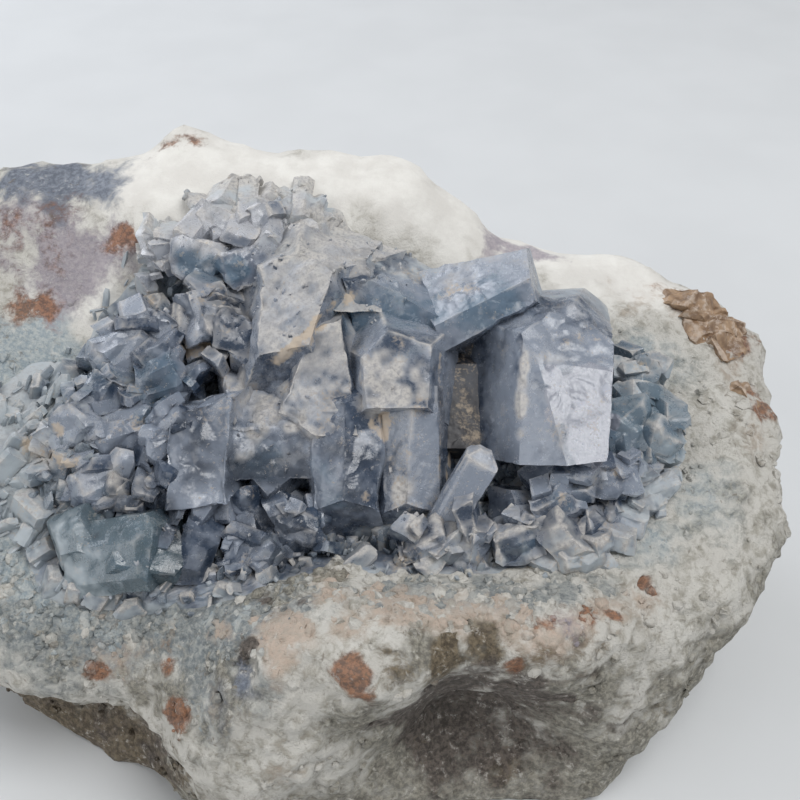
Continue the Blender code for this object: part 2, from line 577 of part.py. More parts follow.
def small_crystals(large):
    """Each small crystal of the crust, spaced out over it where no large crystal stands."""
    directions = even_directions(SMALL_TRIES)
    directions = directions[crust_share(directions) > SMALL_SHARE]
    points = rock_surface(directions)
    normals = surface_normals(directions, points)
    floors = rock_surface(directions, CRUST_THICKNESS)
    chosen = []
    for k, point in enumerate(points):
        if inside_any(Vector(point), large, SMALL_CLEARANCE):
            continue
        if all(np.linalg.norm(point - points[c]) > SMALL_SPACING for c in chosen):
            chosen.append(k)
    made = []
    for number, k in enumerate(chosen):
        chance = [(1 + lattice_value(number, n, 1, SMALL_SEED)) / 2 for n in range(9)]
        axis = unit((normals[k] + SMALL_LEAN * (np.array(chance[:3]) - 0.5))[None])[0]
        side = np.array(chance[3:6]) - 0.5
        stand = between(SMALL_STAND, chance[6])
        width = between(SMALL_WIDTH, chance[7] ** 1.5)
        size = (width, width * between((SMALL_FLATTEST, 1.0), chance[8]), stand)
        tip = points[k] + axis * stand
        end = SMALL_ENDS[number % len(SMALL_ENDS)]
        place, planes = grown(tip, axis, side, size, end, SMALL_FIRST_SEED + number, corners=0)
        # The root is cut along the crust, a little above its underside.
        planes[-1] = (-Vector(normals[k]), (tip - floors[k]) @ normals[k] - SMALL_FLOOR)
        made.append((place, planes))
    return made


def finish_material(name, colour, roughness):
    """A plain material of this colour and roughness."""
    material = bpy.data.materials.new(name)
    material.use_nodes = True
    shader = material.node_tree.nodes["Principled BSDF"]
    shader.inputs["Base Color"].default_value = (*colour, 1)
    shader.inputs["Roughness"].default_value = roughness
    shader.inputs["Metallic"].default_value = 0.0
    material.diffuse_color = (*colour, 1)
    return material


def clear_scene():
    """Removes what the startup scene holds."""
    for old in list(bpy.data.objects):
        bpy.data.objects.remove(old)


def main():
    """Builds the rock, its large crystals and the crust between them."""
    clear_scene()
    pale_rock = finish_material("pale rock", (0.62, 0.59, 0.53), 0.9)
    blue_crust = finish_material("blue crust", (0.36, 0.43, 0.50), 0.45)
    blue_crystal = finish_material("blue crystal", (0.30, 0.36, 0.46), 0.25)
    placed = {name: [on_slope(c) for c in crystals] for name, crystals in CRYSTALS.items()}
    every = [crystal for crystals in placed.values() for crystal in crystals]
    directions, triangles = sphere(ROCK_SPLITS)
    directions = fit_to_outline(directions, OUTLINE_NEAR)
    rock = add_object("matrix_rock", rock_mesh(directions, triangles), pale_rock)
    crust = add_object("crystal_crust", crust_mesh(directions, triangles), blue_crust)
    small = small_crystals(every)
    combine(crust, "UNION", helpers("small", [crystal_mesh(c) for c in small]))
    # This stays just under the shell's own underside, so it trims only the roots of the small crystals.
    combine(crust, "DIFFERENCE", helpers("clearance", [rock_mesh(directions, triangles, ROOT_TRIM)]))
    sockets = []
    for name, crystals in placed.items():
        made = add_object(name, crystal_mesh(crystals[0]), blue_crystal)
        if len(crystals) > 1:
            combine(made, "UNION", helpers(name + "_parts", [crystal_mesh(c) for c in crystals[1:]]))
        if sockets:
            combine(made, "DIFFERENCE", helpers(name + "_neighbours", sockets))
        sockets = sockets + [crystal_mesh(c, swell=GAP) for c in crystals]
    holes = helpers("sockets", sockets)
    combine(crust, "DIFFERENCE", holes)
    combine(rock, "DIFFERENCE", holes)
    for made, material in ((rock, pale_rock), (crust, blue_crust)):
        made.data.materials.clear()
        made.data.materials.append(material)


main()
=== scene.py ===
"""A celestite crystal cluster, dressed: blue-grey crystals in the hollow of a broken piece of pale rock.

Every surface is worked out with numpy in mm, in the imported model's frame, and becomes a mesh in metres.
"""

import logging
import math
from collections.abc import Sequence
from dataclasses import dataclass, field
from enum import Enum

import bpy
import numpy as np
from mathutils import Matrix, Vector


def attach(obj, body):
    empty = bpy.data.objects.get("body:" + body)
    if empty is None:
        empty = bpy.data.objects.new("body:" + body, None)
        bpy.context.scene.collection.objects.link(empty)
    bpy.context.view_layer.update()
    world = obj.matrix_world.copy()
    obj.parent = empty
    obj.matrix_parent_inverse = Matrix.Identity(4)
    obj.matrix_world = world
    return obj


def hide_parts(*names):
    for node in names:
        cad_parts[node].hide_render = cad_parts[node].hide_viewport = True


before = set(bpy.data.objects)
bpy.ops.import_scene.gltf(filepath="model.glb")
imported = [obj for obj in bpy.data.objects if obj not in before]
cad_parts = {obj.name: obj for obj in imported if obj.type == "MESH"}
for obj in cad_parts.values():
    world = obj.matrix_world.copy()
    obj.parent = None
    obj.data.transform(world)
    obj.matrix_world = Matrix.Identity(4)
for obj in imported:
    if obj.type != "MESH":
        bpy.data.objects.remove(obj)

Array = np.ndarray
Place = tuple[float, float, float]
Colour = tuple[float, float, float, float]
Socket = bpy.types.NodeSocket
log = logging.getLogger("celestite")
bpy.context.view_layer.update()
MM = 0.001

# Large odd numbers that scatter a lattice corner's x, y, z and seed, and mix the result.
SCATTER = (374761393, 668265263, 1442695041, 974634777)
MIX = 1274126177
BITS_32 = 0xFFFFFFFF
BITS_16 = 0xFFFF
# Any direction that no axis or edge here lies along.
ASLANT = (0.31, 0.92, 0.23)
# How far a scattered dot may lie from its cell's middle, and a distance past all dots near by, in cells.
JITTER = 0.45
FAR = 9.0


def unit(vectors: Array) -> Array:
    """Each row at length 1."""
    return vectors / np.linalg.norm(vectors, axis=-1, keepdims=True)


def ease(share: Array) -> Array:
    """The share held between 0 and 1, with a soft start and end: 3s² − 2s³."""
    held = np.clip(share, 0.0, 1.0)
    return held * held * (3.0 - 2.0 * held)


def lattice_value(x: Array, y: Array, z: Array, seed: int) -> Array:
    """A fixed pseudo-random value from -1 to 1 for each corner of a unit lattice."""
    mixed = sum(value * step for value, step in zip((x, y, z, seed), SCATTER)) & BITS_32
    mixed = ((mixed ^ (mixed >> 13)) * MIX) & BITS_32
    return ((mixed ^ (mixed >> 16)) & BITS_16) / (BITS_16 / 2) - 1.0


def chance(count: int, kind: int, seed: int) -> Array:
    """Fixed pseudo-random values from 0 to 1, one for each of count things."""
    number = np.arange(count)
    return (1 + lattice_value(number, kind, 1, seed)) / 2


def chances(count: int, kinds: int, seed: int) -> Array:
    """So many kinds of chance, as columns, for each of count things."""
    return np.stack([chance(count, kind, seed) for kind in range(kinds)], axis=1)


def smooth_noise(points: Array, seed: int) -> Array:
    """Smooth noise from -1 to 1: the eight corners of each point's lattice cell, blended by eased shares."""
    cell = np.floor(points).astype(np.int64)
    share = ease(points - cell)
    total = np.zeros(len(points))
    for corner in np.ndindex(2, 2, 2):
        step = np.array(corner)
        weight = np.where(step, share, 1.0 - share).prod(axis=1)
        total += weight * lattice_value(*(cell + step).T, seed)
    return total


def layered_noise(points: Array, layers: list[tuple[float, float]], seed: int) -> Array:
    """The sum of layers of smooth noise.

    Args:
        points: places in mm.
        layers: the wavelength and the height of each layer, in mm.
        seed: fixes the pattern.

    Returns:
        One height for each point.
    """
    total = np.zeros(len(points))
    for number, (wavelength, height) in enumerate(layers):
        total += height * smooth_noise(points / wavelength, seed + number)
    return total


def cell_distance(points: Array, seed: int) -> tuple[Array, Array]:
    """How far each point is from the nearest of one scattered dot per unit cell, and a value of that dot."""
    cell = np.floor(points).astype(np.int64)
    nearest = np.full(len(points), FAR)
    value = np.zeros(len(points))
    for corner in np.ndindex(3, 3, 3):
        other = cell + np.array(corner) - 1
        jitter = np.stack([lattice_value(*other.T, seed + k) for k in range(3)], axis=1)
        away = np.linalg.norm(points - (other + 0.5 + JITTER * jitter), axis=1)
        closer = away < nearest
        nearest = np.where(closer, away, nearest)
        value[closer] = lattice_value(*other[closer].T, seed + 7)
    return nearest, value


def shard_relief(points: Array, size: float, seed: int, steep: float = 0.6) -> tuple[Array, Array]:
    """Heights like those of crystals grown together: sharp tilted facets, without gaps between them.

    Each unit cell has a dot and a cube round it, turned at random. The height is steep · size · (the largest
    of v / 2 − a over the cells near by), with a value v of the cell's own, and the largest coordinate a of
    the way from the dot in the cube's frame.

    Args:
        points: places in mm.
        size: how far apart the crystals are, in mm.
        seed: fixes the pattern.
        steep: how steep the facets are, as a slope.

    Returns:
        One height in mm for each point, and another value of the cell that it belongs to, from -1 to 1.
    """
    scaled = points / size
    cell = np.floor(scaled).astype(np.int64)
    height = np.full(len(points), -FAR)
    own = np.zeros(len(points))
    for corner in np.ndindex(3, 3, 3):
        other = cell + np.array(corner) - 1
        luck = np.stack([lattice_value(*other.T, seed + k) for k in range(7)], axis=1)
        way = scaled - (other + 0.5 + JITTER * luck[:, :3])
        one = unit(luck[:, 3:6] + 1e-6)
        two = unit(np.cross(one, ASLANT))
        three = np.cross(one, two)
        away = np.max([np.abs((way * side).sum(axis=1)) for side in (one, two, three)], axis=0)
        here = 0.5 * luck[:, 6] - away
        own = np.where(here > height, luck[:, 0], own)
        height = np.maximum(height, here)
    return steep * size * (height + 0.3), own


@dataclass(frozen=True)
class Spot:
    """A mark on the specimen: its place and reach in mm, and how strong it is."""

    place: Place
    reach: float
    strength: float = 1.0


def rows(table: str) -> list[tuple[float, ...]]:
    """The rows of numbers in a table, which has a comma after each row but the last."""
    return [tuple(float(number) for number in row.split()) for row in table.split(",")]


def spots(table: str) -> tuple[Spot, ...]:
    """Spots from a table with x, y, z, reach and, where it isn't 1, strength."""
    return tuple(Spot(row[:3], *row[3:]) for row in rows(table))


def seam(start: Place, end: Place, reach: float, strength: float) -> tuple[Spot, ...]:
    """A line of spots from start to end in mm, 0.6 of their reach apart, so that they run together."""
    one, two = np.array(start, float), np.array(end, float)
    shares = np.linspace(0, 1, math.ceil(np.linalg.norm(two - one) / (0.6 * reach)) + 1)
    return tuple(Spot(tuple(one + (two - one) * share), reach, strength) for share in shares)


# Past this many times its reach a spot has faded away.
FADED = 2.5


def spot_mask(points: Array, marks: Sequence[Spot], seed: int = 40, patchy: float = 0.3) -> Array:
    """How strongly each point is marked, from 0 to 1, fading out softly at a ragged edge.

    Each spot gives strength · exp(−(distance / reach · (1 + noise))²) · (1 + fine noise), and the strongest
    one counts.

    Args:
        points: places in mm.
        marks: the spots.
        seed: fixes the noise.
        patchy: how much the fine noise breaks a spot up.

    Returns:
        One value for each point.
    """
    noise = layered_noise(points, [(6.0, 0.45), (2.5, 0.35)], seed)
    uneven = 1 - patchy * (0.2 + smooth_noise(points / 1.4, seed + 2))
    mask = np.zeros(len(points))
    for mark in marks:
        away = np.linalg.norm(points - np.array(mark.place), axis=1) / mark.reach
        close = away < FADED
        away = away[close] * (1 + noise[close])
        mask[close] = np.maximum(mask[close], mark.strength * np.exp(-away * away) * uneven[close])
    return mask


# Tables of x, y, z of places on the rock's surface, in mm, by the part of the rock that they are on.
SURVEY: dict[str, str] = {
    "crest": """
    -97 42 76, -85 48 84, -73 50 84, -62 50 87, -54 52 89, -47 53 92, -39 52 87, -30 51 84, -15 50 85,
    -2 50 84, 9 50 77, 20 49 69, 33 47 65, 48 42 63, 60 37 60
    """,
    "right end": """
    69 25 57, 74 12 49, 76 4 44, 75 -5 36, 71 -14 30, 65 -21 24, 58 -27 19, 51 -32 12, 62 20 20, 53 -8 4
    """,
    "front foot": """
    45 -39 5, 38 -46 4, 31 -49 3, 19 -47 3, 6 -52 2, -13 -57 3, -32 -55 2, -43 -46 3, -60 -40 3, -72 -34 6,
    -82 -24 4
    """,
    "front face": """
    35 -43 39, 36 -48 20, 50 -38 36, 13 -39 14, 9 -45 36, 24 -46 35, -16 -46 47, -17 -53 36, -30 -56 18,
    -38 -45 33, -6 -52 24, -61 -43 27, -74 -42 24, -60 -38 12, -82 -34 22
    """,
    "left end": """
    -101 28 68, -105 8 54, -102 -12 42, -92 -29 33, -104 14 30, -92 0 8, -94 30 34, -80 -10 4
    """,
    "back": """
    -80 54 50, -50 58 50, -15 59 48, 20 56 42, 50 48 38, -70 44 14, -30 52 12, 15 50 10, 48 36 10, -52 57 72,
    -10 56 68
    """,
    "underside": """
    -60 4 -4, -15 14 -6, 30 6 -5, -15 -30 -5, 25 -24 -3, -10 -6 -8, 8 0 -7
    """,
    "hollow rim": """
    -75 22 60, -66 30 64, -58 38 70, -49 42 79, -33 42 83, -19 41 84, 0 38 76, 17 36 67, 34 32 63, 51 27 61,
    62 20 58, 70 4 54, 64 -14 47, 54 -28 44, 33 -37 46, 21 -39 46, 7 -39 46, -9 -39 49, -22 -39 45,
    -38 -38 36, -51 -38 32, -62 -34 38, -84 -8 52, -88 10 58
    """,
    "hollow floor": """
    -30 22 62, -8 20 59, 18 20 56, 44 12 53, -52 16 56, -40 0 49, -12 -2 46, 14 0 44, 46 -4 50, -60 -6 50,
    -34 -22 40, -10 -22 40, 16 -22 40, 40 -20 44, -58 -24 40, -73 4 54
    """,
}
# Lumps (height above 0) and pits (below 0): place, radius and height, in mm.
RELIEF = rows("""
    -46 53 91 8 8, -62 50 86 7 1.5, -11 40 80 10 4, 66 34 62 6 3.5, 72 24 57 6 3, 76 6 46 5 2,
    50 42 64 6 1.5, 14 -42 22 9 -5, 24 -44 18 8 -4, -52 -40 14 11 -5, -68 -36 14 11 -5, 36 -48 12 9 2.5,
    -20 -52 26 10 2, -36 -48 22 7 2, -4 -50 42 7 2, 30 -42 38 7 2, 8 -48 5 7 2, -16 -44 46 6 1.5,
    -90 10 28 12 1.5, -60 58 40 14 3.5, 0 58 36 13 -3.5, 30 54 30 10 3, -30 57 26 9 -2.5
""")
# The line round the crust of crystals, as places on the rock's surface in mm.
CRUST_EDGE = rows("""
    -50 39 77, -36 43 84, -19 42 85, 2 38 76, 18 35 67, 34 31 63, 50 25 61, 63 12 56, 64 -6 51, 54 -20 47,
    44 -29 46, 33 -35 46, 18 -36 46, 3 -36 46, -12 -36 49, -24 -36 45, -38 -34 37, -52 -36 35, -70 -32 37,
    -83 -14 46, -86 6 54, -76 18 58, -64 26 61
""")


class RockForm:
    """The rock's outside: a star-shaped surface through the surveyed places, with lumps, pits and roughness.

    Each surface point is HEART + (direction · REACH) · radius. The radius is a spline over the unit sphere: a
    weighted sum of the cubed chords to the surveyed places, plus a plane.
    """

    HEART = np.array([-14.0, 2.0, 22.0])
    REACH = np.array([95.0, 58.0, 55.0])
    SURVEY_EASE = 0.002
    ROUGHNESS = [(26.0, 2.2), (12.0, 1.5), (7.0, 0.9)]
    ROUGHNESS_SEED = 3
    CRUST_THICKNESS = 7.0
    CRUST_EDGE_WIDTH = 0.16
    GAP = 0.35
    # Above this height the fine surface is tipped back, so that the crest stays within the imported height.
    CREST_HEIGHT = 80.0
    CREST_TIP = 0.36
    CREST_BACK = 1.19
    # The step, as an angle, over which the surface's slope is taken.
    STEP = 0.015

    def __init__(self) -> None:
        """Fits the spline, and lays out the line round the crust on the unit sphere."""
        places = np.array([place for table in SURVEY.values() for place in rows(table)])
        radius = np.linalg.norm((places - self.HEART) / self.REACH, axis=1)
        self.knots = self.direction_of(places)
        count = len(places)
        plain = np.hstack([np.ones((count, 1)), self.knots])
        system = np.zeros((count + 4, count + 4))
        system[:count, :count] = self.chords(self.knots) ** 3 + self.SURVEY_EASE * np.eye(count)
        system[:count, count:] = plain
        system[count:, :count] = plain.T
        self.weights = np.linalg.solve(system, np.concatenate([radius, np.zeros(4)]))
        edge = self.direction_of(np.array(CRUST_EDGE))
        self.middle = unit(edge.mean(axis=0))
        self.east = unit(np.cross([0.0, 1.0, 0.0], self.middle))
        self.north = np.cross(self.middle, self.east)
        turn = np.arctan2(edge @ self.north, edge @ self.east)
        order = np.argsort(turn)
        self.edge_turn = turn[order]
        self.edge_reach = np.arccos(edge @ self.middle)[order]

    def chords(self, directions: Array) -> Array:
        """The straight distance from each direction to each surveyed one, on the unit sphere."""
        return np.sqrt(np.maximum(2.0 - 2.0 * directions @ self.knots.T, 0.0))

    def surface(self, directions: Array, sunk: Array | float = 0.0) -> Array:
        """Points of the rock's outside in mm, on the rays along these directions, sunk inwards by a depth."""
        plain = np.hstack([np.ones((len(directions), 1)), directions])
        radius = self.chords(directions) ** 3 @ self.weights[:-4] + plain @ self.weights[-4:]
        ray = directions * self.REACH
        distance = radius * np.linalg.norm(ray, axis=1)
        ray = unit(ray)
        points = self.HEART + ray * distance[:, None]
        for *place, width, height in RELIEF:
            away = np.linalg.norm(points - place, axis=1) / width
            distance = distance + height * np.exp(-away * away)
        distance = distance + layered_noise(points, self.ROUGHNESS, self.ROUGHNESS_SEED)
        points = self.HEART + ray * (distance - sunk)[:, None]
        below = np.minimum(points[:, 2], 0.0)
        points = self.HEART + (points - self.HEART) * (self.HEART[2] / (self.HEART[2] - below))[:, None]
        tip = self.CREST_TIP * np.maximum(points[:, 2] - self.CREST_HEIGHT, 0.0)
        return points + tip[:, None] * np.array([0.0, self.CREST_BACK, -1.0])

    def normals(self, directions: Array, points: Array) -> Array:
        """The outward normal of the surface at each point, from two small steps aside."""
        one = unit(np.cross(directions, ASLANT))
        two = np.cross(directions, one)
        first = self.surface(unit(directions + self.STEP * one)) - points
        second = self.surface(unit(directions + self.STEP * two)) - points
        normal = unit(np.cross(first, second))
        return normal * np.sign((normal * directions).sum(axis=1, keepdims=True))

    def scatter(self, tries: int, seed: int, reach: float = math.pi) -> tuple[Array, Array, Array]:
        """Places spread evenly over the surface.

        Directions are tried at random. Each is kept with a chance in proportion to the surface that it stands
        for, which is distance² / cos(lean of the surface from the ray).

        Args:
            tries: how many directions are tried.
            seed: fixes them.
            reach: the widest angle from the middle of the crust that is tried.

        Returns:
            The directions, points in mm and outward normals of those that are kept.
        """
        lift = 1 - (1 - math.cos(reach)) * chance(tries, 1, seed)
        directions = self.toward(2 * math.pi * chance(tries, 2, seed), np.arccos(np.clip(lift, -1, 1)))
        points = self.surface(directions)
        normals = self.normals(directions, points)
        # A direction stands for a patch of stretched space, whose size depends on where it points.
        ray = directions * self.REACH
        stretch = np.linalg.norm(ray, axis=1)
        distance = np.linalg.norm(points - self.HEART, axis=1)
        lean = np.maximum((unit(ray) * normals).sum(axis=1), 0.15)
        patch = distance ** 2 / lean * self.REACH.prod() / stretch ** 3
        keep = chance(tries, 3, seed) < patch / np.quantile(patch, 0.98)
        return directions[keep], points[keep], normals[keep]

    def limit(self, turn: Array) -> Array:
        """How far the crust reaches from its middle at each turn, as an angle."""
        return np.interp(turn, self.edge_turn, self.edge_reach, period=2 * math.pi)

    def toward(self, turn: Array, reach: Array) -> Array:
        """The direction at each turn and reach from the crust's middle."""
        aside = np.cos(turn)[..., None] * self.east + np.sin(turn)[..., None] * self.north
        return np.cos(reach)[..., None] * self.middle + np.sin(reach)[..., None] * aside

    def inside(self, directions: Array) -> Array:
        """How far each direction is inside the line round the crust, as an angle: below 0 on bare rock."""
        turn = np.arctan2(directions @ self.north, directions @ self.east)
        return self.limit(turn) - np.arccos(np.clip(directions @ self.middle, -1, 1))

    def crust_share(self, directions: Array) -> Array:
        """0 on bare rock, rising to 1 inside the line round the crust."""
        return ease(self.inside(directions) / self.CRUST_EDGE_WIDTH)

    def direction_of(self, points: Array) -> Array:
        """The directions whose rays pass through these places in mm."""
        return unit((points - self.HEART) / self.REACH)


@dataclass
class Surface:
    """A surface on its way to a mesh: points in mm, faces, and one value or vector per point by name."""

    points: Array
    faces: Array
    values: dict[str, Array] = field(default_factory=dict)

    def normals(self) -> Array:
        """The outward normal at each point: the mean of the normals of its triangles."""
        corners = self.points[self.faces[:, :3]]
        flat = np.cross(corners[:, 1] - corners[:, 0], corners[:, 2] - corners[:, 0])
        total = np.zeros_like(self.points)
        for column in range(self.faces.shape[1]):
            for axis in range(3):
                total[:, axis] += np.bincount(self.faces[:, column], flat[:, axis], len(self.points))
        return total / np.maximum(np.linalg.norm(total, axis=1, keepdims=True), 1e-9)


def joined(parts: list[Surface]) -> Surface:
    """Several surfaces as one. All of them hold the same values."""
    starts = np.cumsum([0] + [len(part.points) for part in parts[:-1]])
    faces = np.concatenate([part.faces + start for part, start in zip(parts, starts)])
    values = {name: np.concatenate([part.values[name] for part in parts]) for name in parts[0].values}
    return Surface(np.concatenate([part.points for part in parts]), faces, values)


def closed_faces(rings: int, spokes: int) -> Array:
    """The triangles of a grid of rings by spokes that closes round on itself, and on a pole at either end.

    The two poles are the points that come after the grid's.
    """
    ring, spoke = np.meshgrid(np.arange(rings - 1), np.arange(spokes), indexing="ij")
    here = ring * spokes + spoke
    beside = ring * spokes + (spoke + 1) % spokes
    one = np.stack([here, here + spokes, beside], axis=-1).reshape(-1, 3)
    two = np.stack([beside, here + spokes, beside + spokes], axis=-1).reshape(-1, 3)
    spoke = np.arange(spokes)
    after = (spoke + 1) % spokes
    pole = np.full(spokes, rings * spokes)
    start = (rings - 1) * spokes
    near = np.stack([pole, spoke, after], axis=1)
    far = np.stack([pole + 1, start + after, start + spoke], axis=1)
    return np.concatenate([one, two, near, far])


def capped(points: Array, rings: int, spokes: int) -> tuple[Array, Array]:
    """A grid of rings whose first and last ring close on a point of their own.

    Args:
        points: the rings' points, ring after ring, from the pole that faces out to the one that is hidden.
        rings: how many rings there are.
        spokes: how many points each ring has.

    Returns:
        The points with the two poles added at the end, and the triangles of the closed surface.
    """
    poles = points[:spokes].mean(axis=0), points[-spokes:].mean(axis=0)
    return np.vstack([points, *poles]), closed_faces(rings, spokes)


def repeated(points: Array, rings: int, spokes: int) -> tuple[Array, Array]:
    """Many closed surfaces as one, from an array of surfaces by points, with each one's poles at its end."""
    count, each = points.shape[:2]
    faces = closed_faces(rings, spokes)[None] + each * np.arange(count)[:, None, None]
    return points.reshape(-1, 3), faces.reshape(-1, 3)


def linear(hex_colour: str) -> Colour:
    """An sRGB hex colour, such as "#8090A0", as linear red, green, blue and alpha."""
    parts = [int(hex_colour[k:k + 2], 16) / 255 for k in (1, 3, 5)]
    return (*[c / 12.92 if c <= 0.04045 else ((c + 0.055) / 1.055) ** 2.4 for c in parts], 1.0)


class Tree:
    """A material's node tree, with the values by name that its layers of colour are worked out from."""

    def __init__(self, name: str) -> None:
        """A new material without any node."""
        self.material = bpy.data.materials.new(name)
        self.material.use_nodes = True
        self.material.node_tree.nodes.clear()
        self.values: dict[str, Socket] = {}

    def add(self, kind: str, inputs: dict | tuple = (), out: int | str = 0, **settings) -> Socket | None:
        """Adds a node with its settings and links.

        Args:
            kind: the node's type, without "ShaderNode" in front.
            inputs: a value or another node's output for each input, by its name or number, or in their order.
            out: the name or number of the output that is given back.
            settings: the node's own properties.

        Returns:
            That output, or None where the node has none.
        """
        node = self.material.node_tree.nodes.new("ShaderNode" + kind)
        for name, value in settings.items():
            setattr(node, name, value)
        for name, value in (inputs.items() if isinstance(inputs, dict) else enumerate(inputs)):
            if isinstance(value, Socket):
                self.material.node_tree.links.new(value, node.inputs[name])
            else:
                node.inputs[name].default_value = value
        return node.outputs[out] if node.outputs else None

    def read(self, marks: Sequence[str], noises: dict[str, tuple]) -> None:
        """Gathers the values that the layers are worked out from.

        Args:
            marks: the values that the piece's mesh holds for each of its points.
            noises: each noise's vector, the size of its patches in mm, detail, roughness and distortion.
        """
        for name in marks:
            self.values[name] = self.add("Attribute", out="Fac", attribute_name=name)
        for name, (vector, size_mm, *rest) in noises.items():
            settings = {"Vector": vector, "Scale": 1.0 / (size_mm * MM)}
            settings.update(zip(("Detail", "Roughness", "Distortion"), rest))
            self.values[name] = self.add("TexNoise", settings)

    def layer(self, colour: Socket | Colour, tint: Socket | Colour, terms: dict[str, float], low: float,
              high: float, cover: float = 1.0, within: Socket | float = 1.0) -> tuple[Socket, Socket]:
        """Lays a tint over a colour.

        Its share is cover · within · (how far the weighted sum of values has come from low to high, eased).

        Args:
            colour: what is under it.
            tint: the tint.
            terms: the weight of each value in the sum, the first of which is 1.
            low: the sum at which the tint begins to show.
            high: the sum from which it covers most.
            cover: how much of the colour it covers there.
            within: a value that the share is taken times.

        Returns:
            The new colour, and the tint's share.
        """
        total, *others = (self.values[name] for name in terms)
        for other, weight in zip(others, list(terms.values())[1:]):
            total = self.add("Math", (other, weight, total), operation="MULTIPLY_ADD")
        share = self.add("MapRange", (total, low, high, 0.0, cover), interpolation_type="SMOOTHSTEP")
        share = self.add("Math", (share, within), operation="MULTIPLY")
        return self.add("Mix", {0: share, 6: colour, 7: tint}, 2, data_type="RGBA"), share

    def finish(self, **ends: Socket) -> bpy.types.Material:
        """Gives the material, with these sockets linked to the inputs of its output that have their names."""
        self.add("OutputMaterial", ends)
        return self.material


@dataclass(frozen=True)
class CrystalFinish:
    """Celestite, grown free in a cavity: glassy faces with fine striations, milky veils inside, and dust.

    The eye sees violet-grey to teal glass that is lighter where it is veiled, dulled by pale clay dust in its
    steps and worn white along its edges. Where marked, painted shade deepens the crevices, a painted
    reflection lies on a face and painted light makes faces lighter.
    """

    name: str
    clear: str = "#A9B3C3"
    deep: str = "#46576F"
    # A painted reflection: the pale sheen on a bright face.
    painted_sheen: str = "#B6BAC7"
    teal: str = "#69859C"
    veil: str = "#B6BAC2"
    pale: str = "#B4BCC0"
    # Deeper colour, with painted shade in the crevices between the crystals.
    dark_and_shade: str = "#323D4D"
    dust: str = "#CBC6BE"
    grit: str = "#9F9C9B"
    tan: str = "#C0AF99"
    transmission: float = 0.45
    roughness: float = 0.2
    dusty_roughness: float = 0.8
    ior: float = 1.62
    absorb: str = "#A8BACD"
    density: float = 30.0
    # Striations lie about half a millimetre apart and run along the crystal.
    striation_mm: float = 0.45
    striation_depth: float = 0.5
    relief: float = 0.4
    relief_mm: float = 0.15
    # Where the noise passes this, a clay speck shows: a higher level leaves fewer specks.
    speck_level: float = 0.82

    # The striations' pattern is stretched along the crystal, which is z in its own axes.
    STRETCH = (1.0, 1.0, 0.06)
    VEIL_COVER = 0.45
    # Layers over the deep colour: the name of each one's colour, the weights of the values that bring it on,
    # the two levels between which it comes, and how much it covers. The sheen is a painted reflection on a
    # face, which breaks off at a sharp but ragged edge. The layer after it is deeper colour with painted
    # shade in the crevices. Dust and clay lie on top, broken up by fine noise.
    LAYERS = (
        ("clear", {"cloud": 1, "tone": 0.3, "streaks": 0.35}, 0.42, 0.9, 1.0),
        ("teal", {"teal": 1, "patch": 0.5}, 0.5, 0.95, 0.85),
        ("veil", {"patch": 1, "streaks": 0.6}, 0.86, 1.08, VEIL_COVER),
        ("pale", {"pale": 1, "patch": 1}, 0.6, 1.2, 0.85),
        ("painted_sheen", {"painted_sheen": 1, "patch": 0.3}, 0.56, 0.68, 0.9),
        ("dark_and_shade", {"dark_and_shade": 1, "patch": 0.5}, 0.4, 1.1, 0.75),
        ("dust", {"dust": 1, "patch": 0.4, "fine": 0.6}, 0.66, 1.2, 0.85),
        ("tan", {"tan": 1, "streaks": 0.5, "fine": 0.8}, 1.02, 1.3, 0.8),
    )

    def material(self) -> bpy.types.Material:
        """The finish as a material."""
        tree = Tree(self.name)
        place = tree.add("TexCoord", out="Object")
        grain = tree.add("Attribute", out="Vector", attribute_name="grain")
        lines = tree.add("Mapping", {"Vector": grain, "Scale": self.STRETCH})
        tree.read(("tone", "teal", "pale", "painted_sheen", "dark_and_shade", "dust", "tan"), {
            "cloud": (place, 6.0, 4.0, 0.55), "patch": (place, 2.4, 5.0, 0.6), "fine": (place, 0.7, 5.0, 0.7),
            "specks": (place, 0.5, 2.0, 0.5), "streaks": (lines, 1.1, 4.0, 0.6),
            "striated": (lines, self.striation_mm, 3.0, 0.55),
        })
        powder = tree.layer(linear(self.dust), linear(self.grit), {"fine": 1}, 0.4, 0.65)[0]
        colour: Socket | Colour = linear(self.deep)
        shares = {}
        for name, terms, low, high, cover in self.LAYERS:
            tint = powder if name == "dust" else linear(getattr(self, name))
            colour, shares[name] = tree.layer(colour, tint, terms, low, high, cover)
        # Specks of clay, which show only inside the clouds.
        clouded = tree.add("MapRange", (tree.values["cloud"], 0.4, 0.62), interpolation_type="SMOOTHSTEP")
        colour, cover = tree.layer(colour, linear(self.tan), {"specks": 1, "patch": 0.35}, self.speck_level,
                                   self.speck_level + 0.1, 0.6, clouded)
        for name in ("pale", "dust", "tan"):
            cover = tree.add("Math", (cover, shares[name]), operation="MAXIMUM")
        # What covers the glass makes it dull and shuts out the light, and so does a veil inside it, less.
        settings = {"Base Color": colour, "IOR": self.ior}
        for name, veiled, bare, covered in (("Roughness", 0.4, self.roughness, self.dusty_roughness),
                                            ("Transmission Weight", 0.5, self.transmission, 0.0)):
            shut = tree.add("Math", (shares["veil"], veiled / self.VEIL_COVER), operation="MULTIPLY")
            shut = tree.add("Math", (shut, cover), operation="MAXIMUM")
            settings[name] = tree.add("MapRange", (shut, 0.0, 1.0, bare, covered))
        height = tree.add("Math", (tree.values["striated"], self.striation_depth, tree.values["fine"]),
                          operation="MULTIPLY_ADD")
        settings["Normal"] = tree.add("Bump", {"Height": height, "Strength": self.relief,
                                               "Distance": self.relief_mm * MM})
        absorb = tree.add("VolumeAbsorption", {"Color": linear(self.absorb), "Density": self.density})
        return tree.finish(Surface=tree.add("BsdfPrincipled", settings), Volume=absorb)


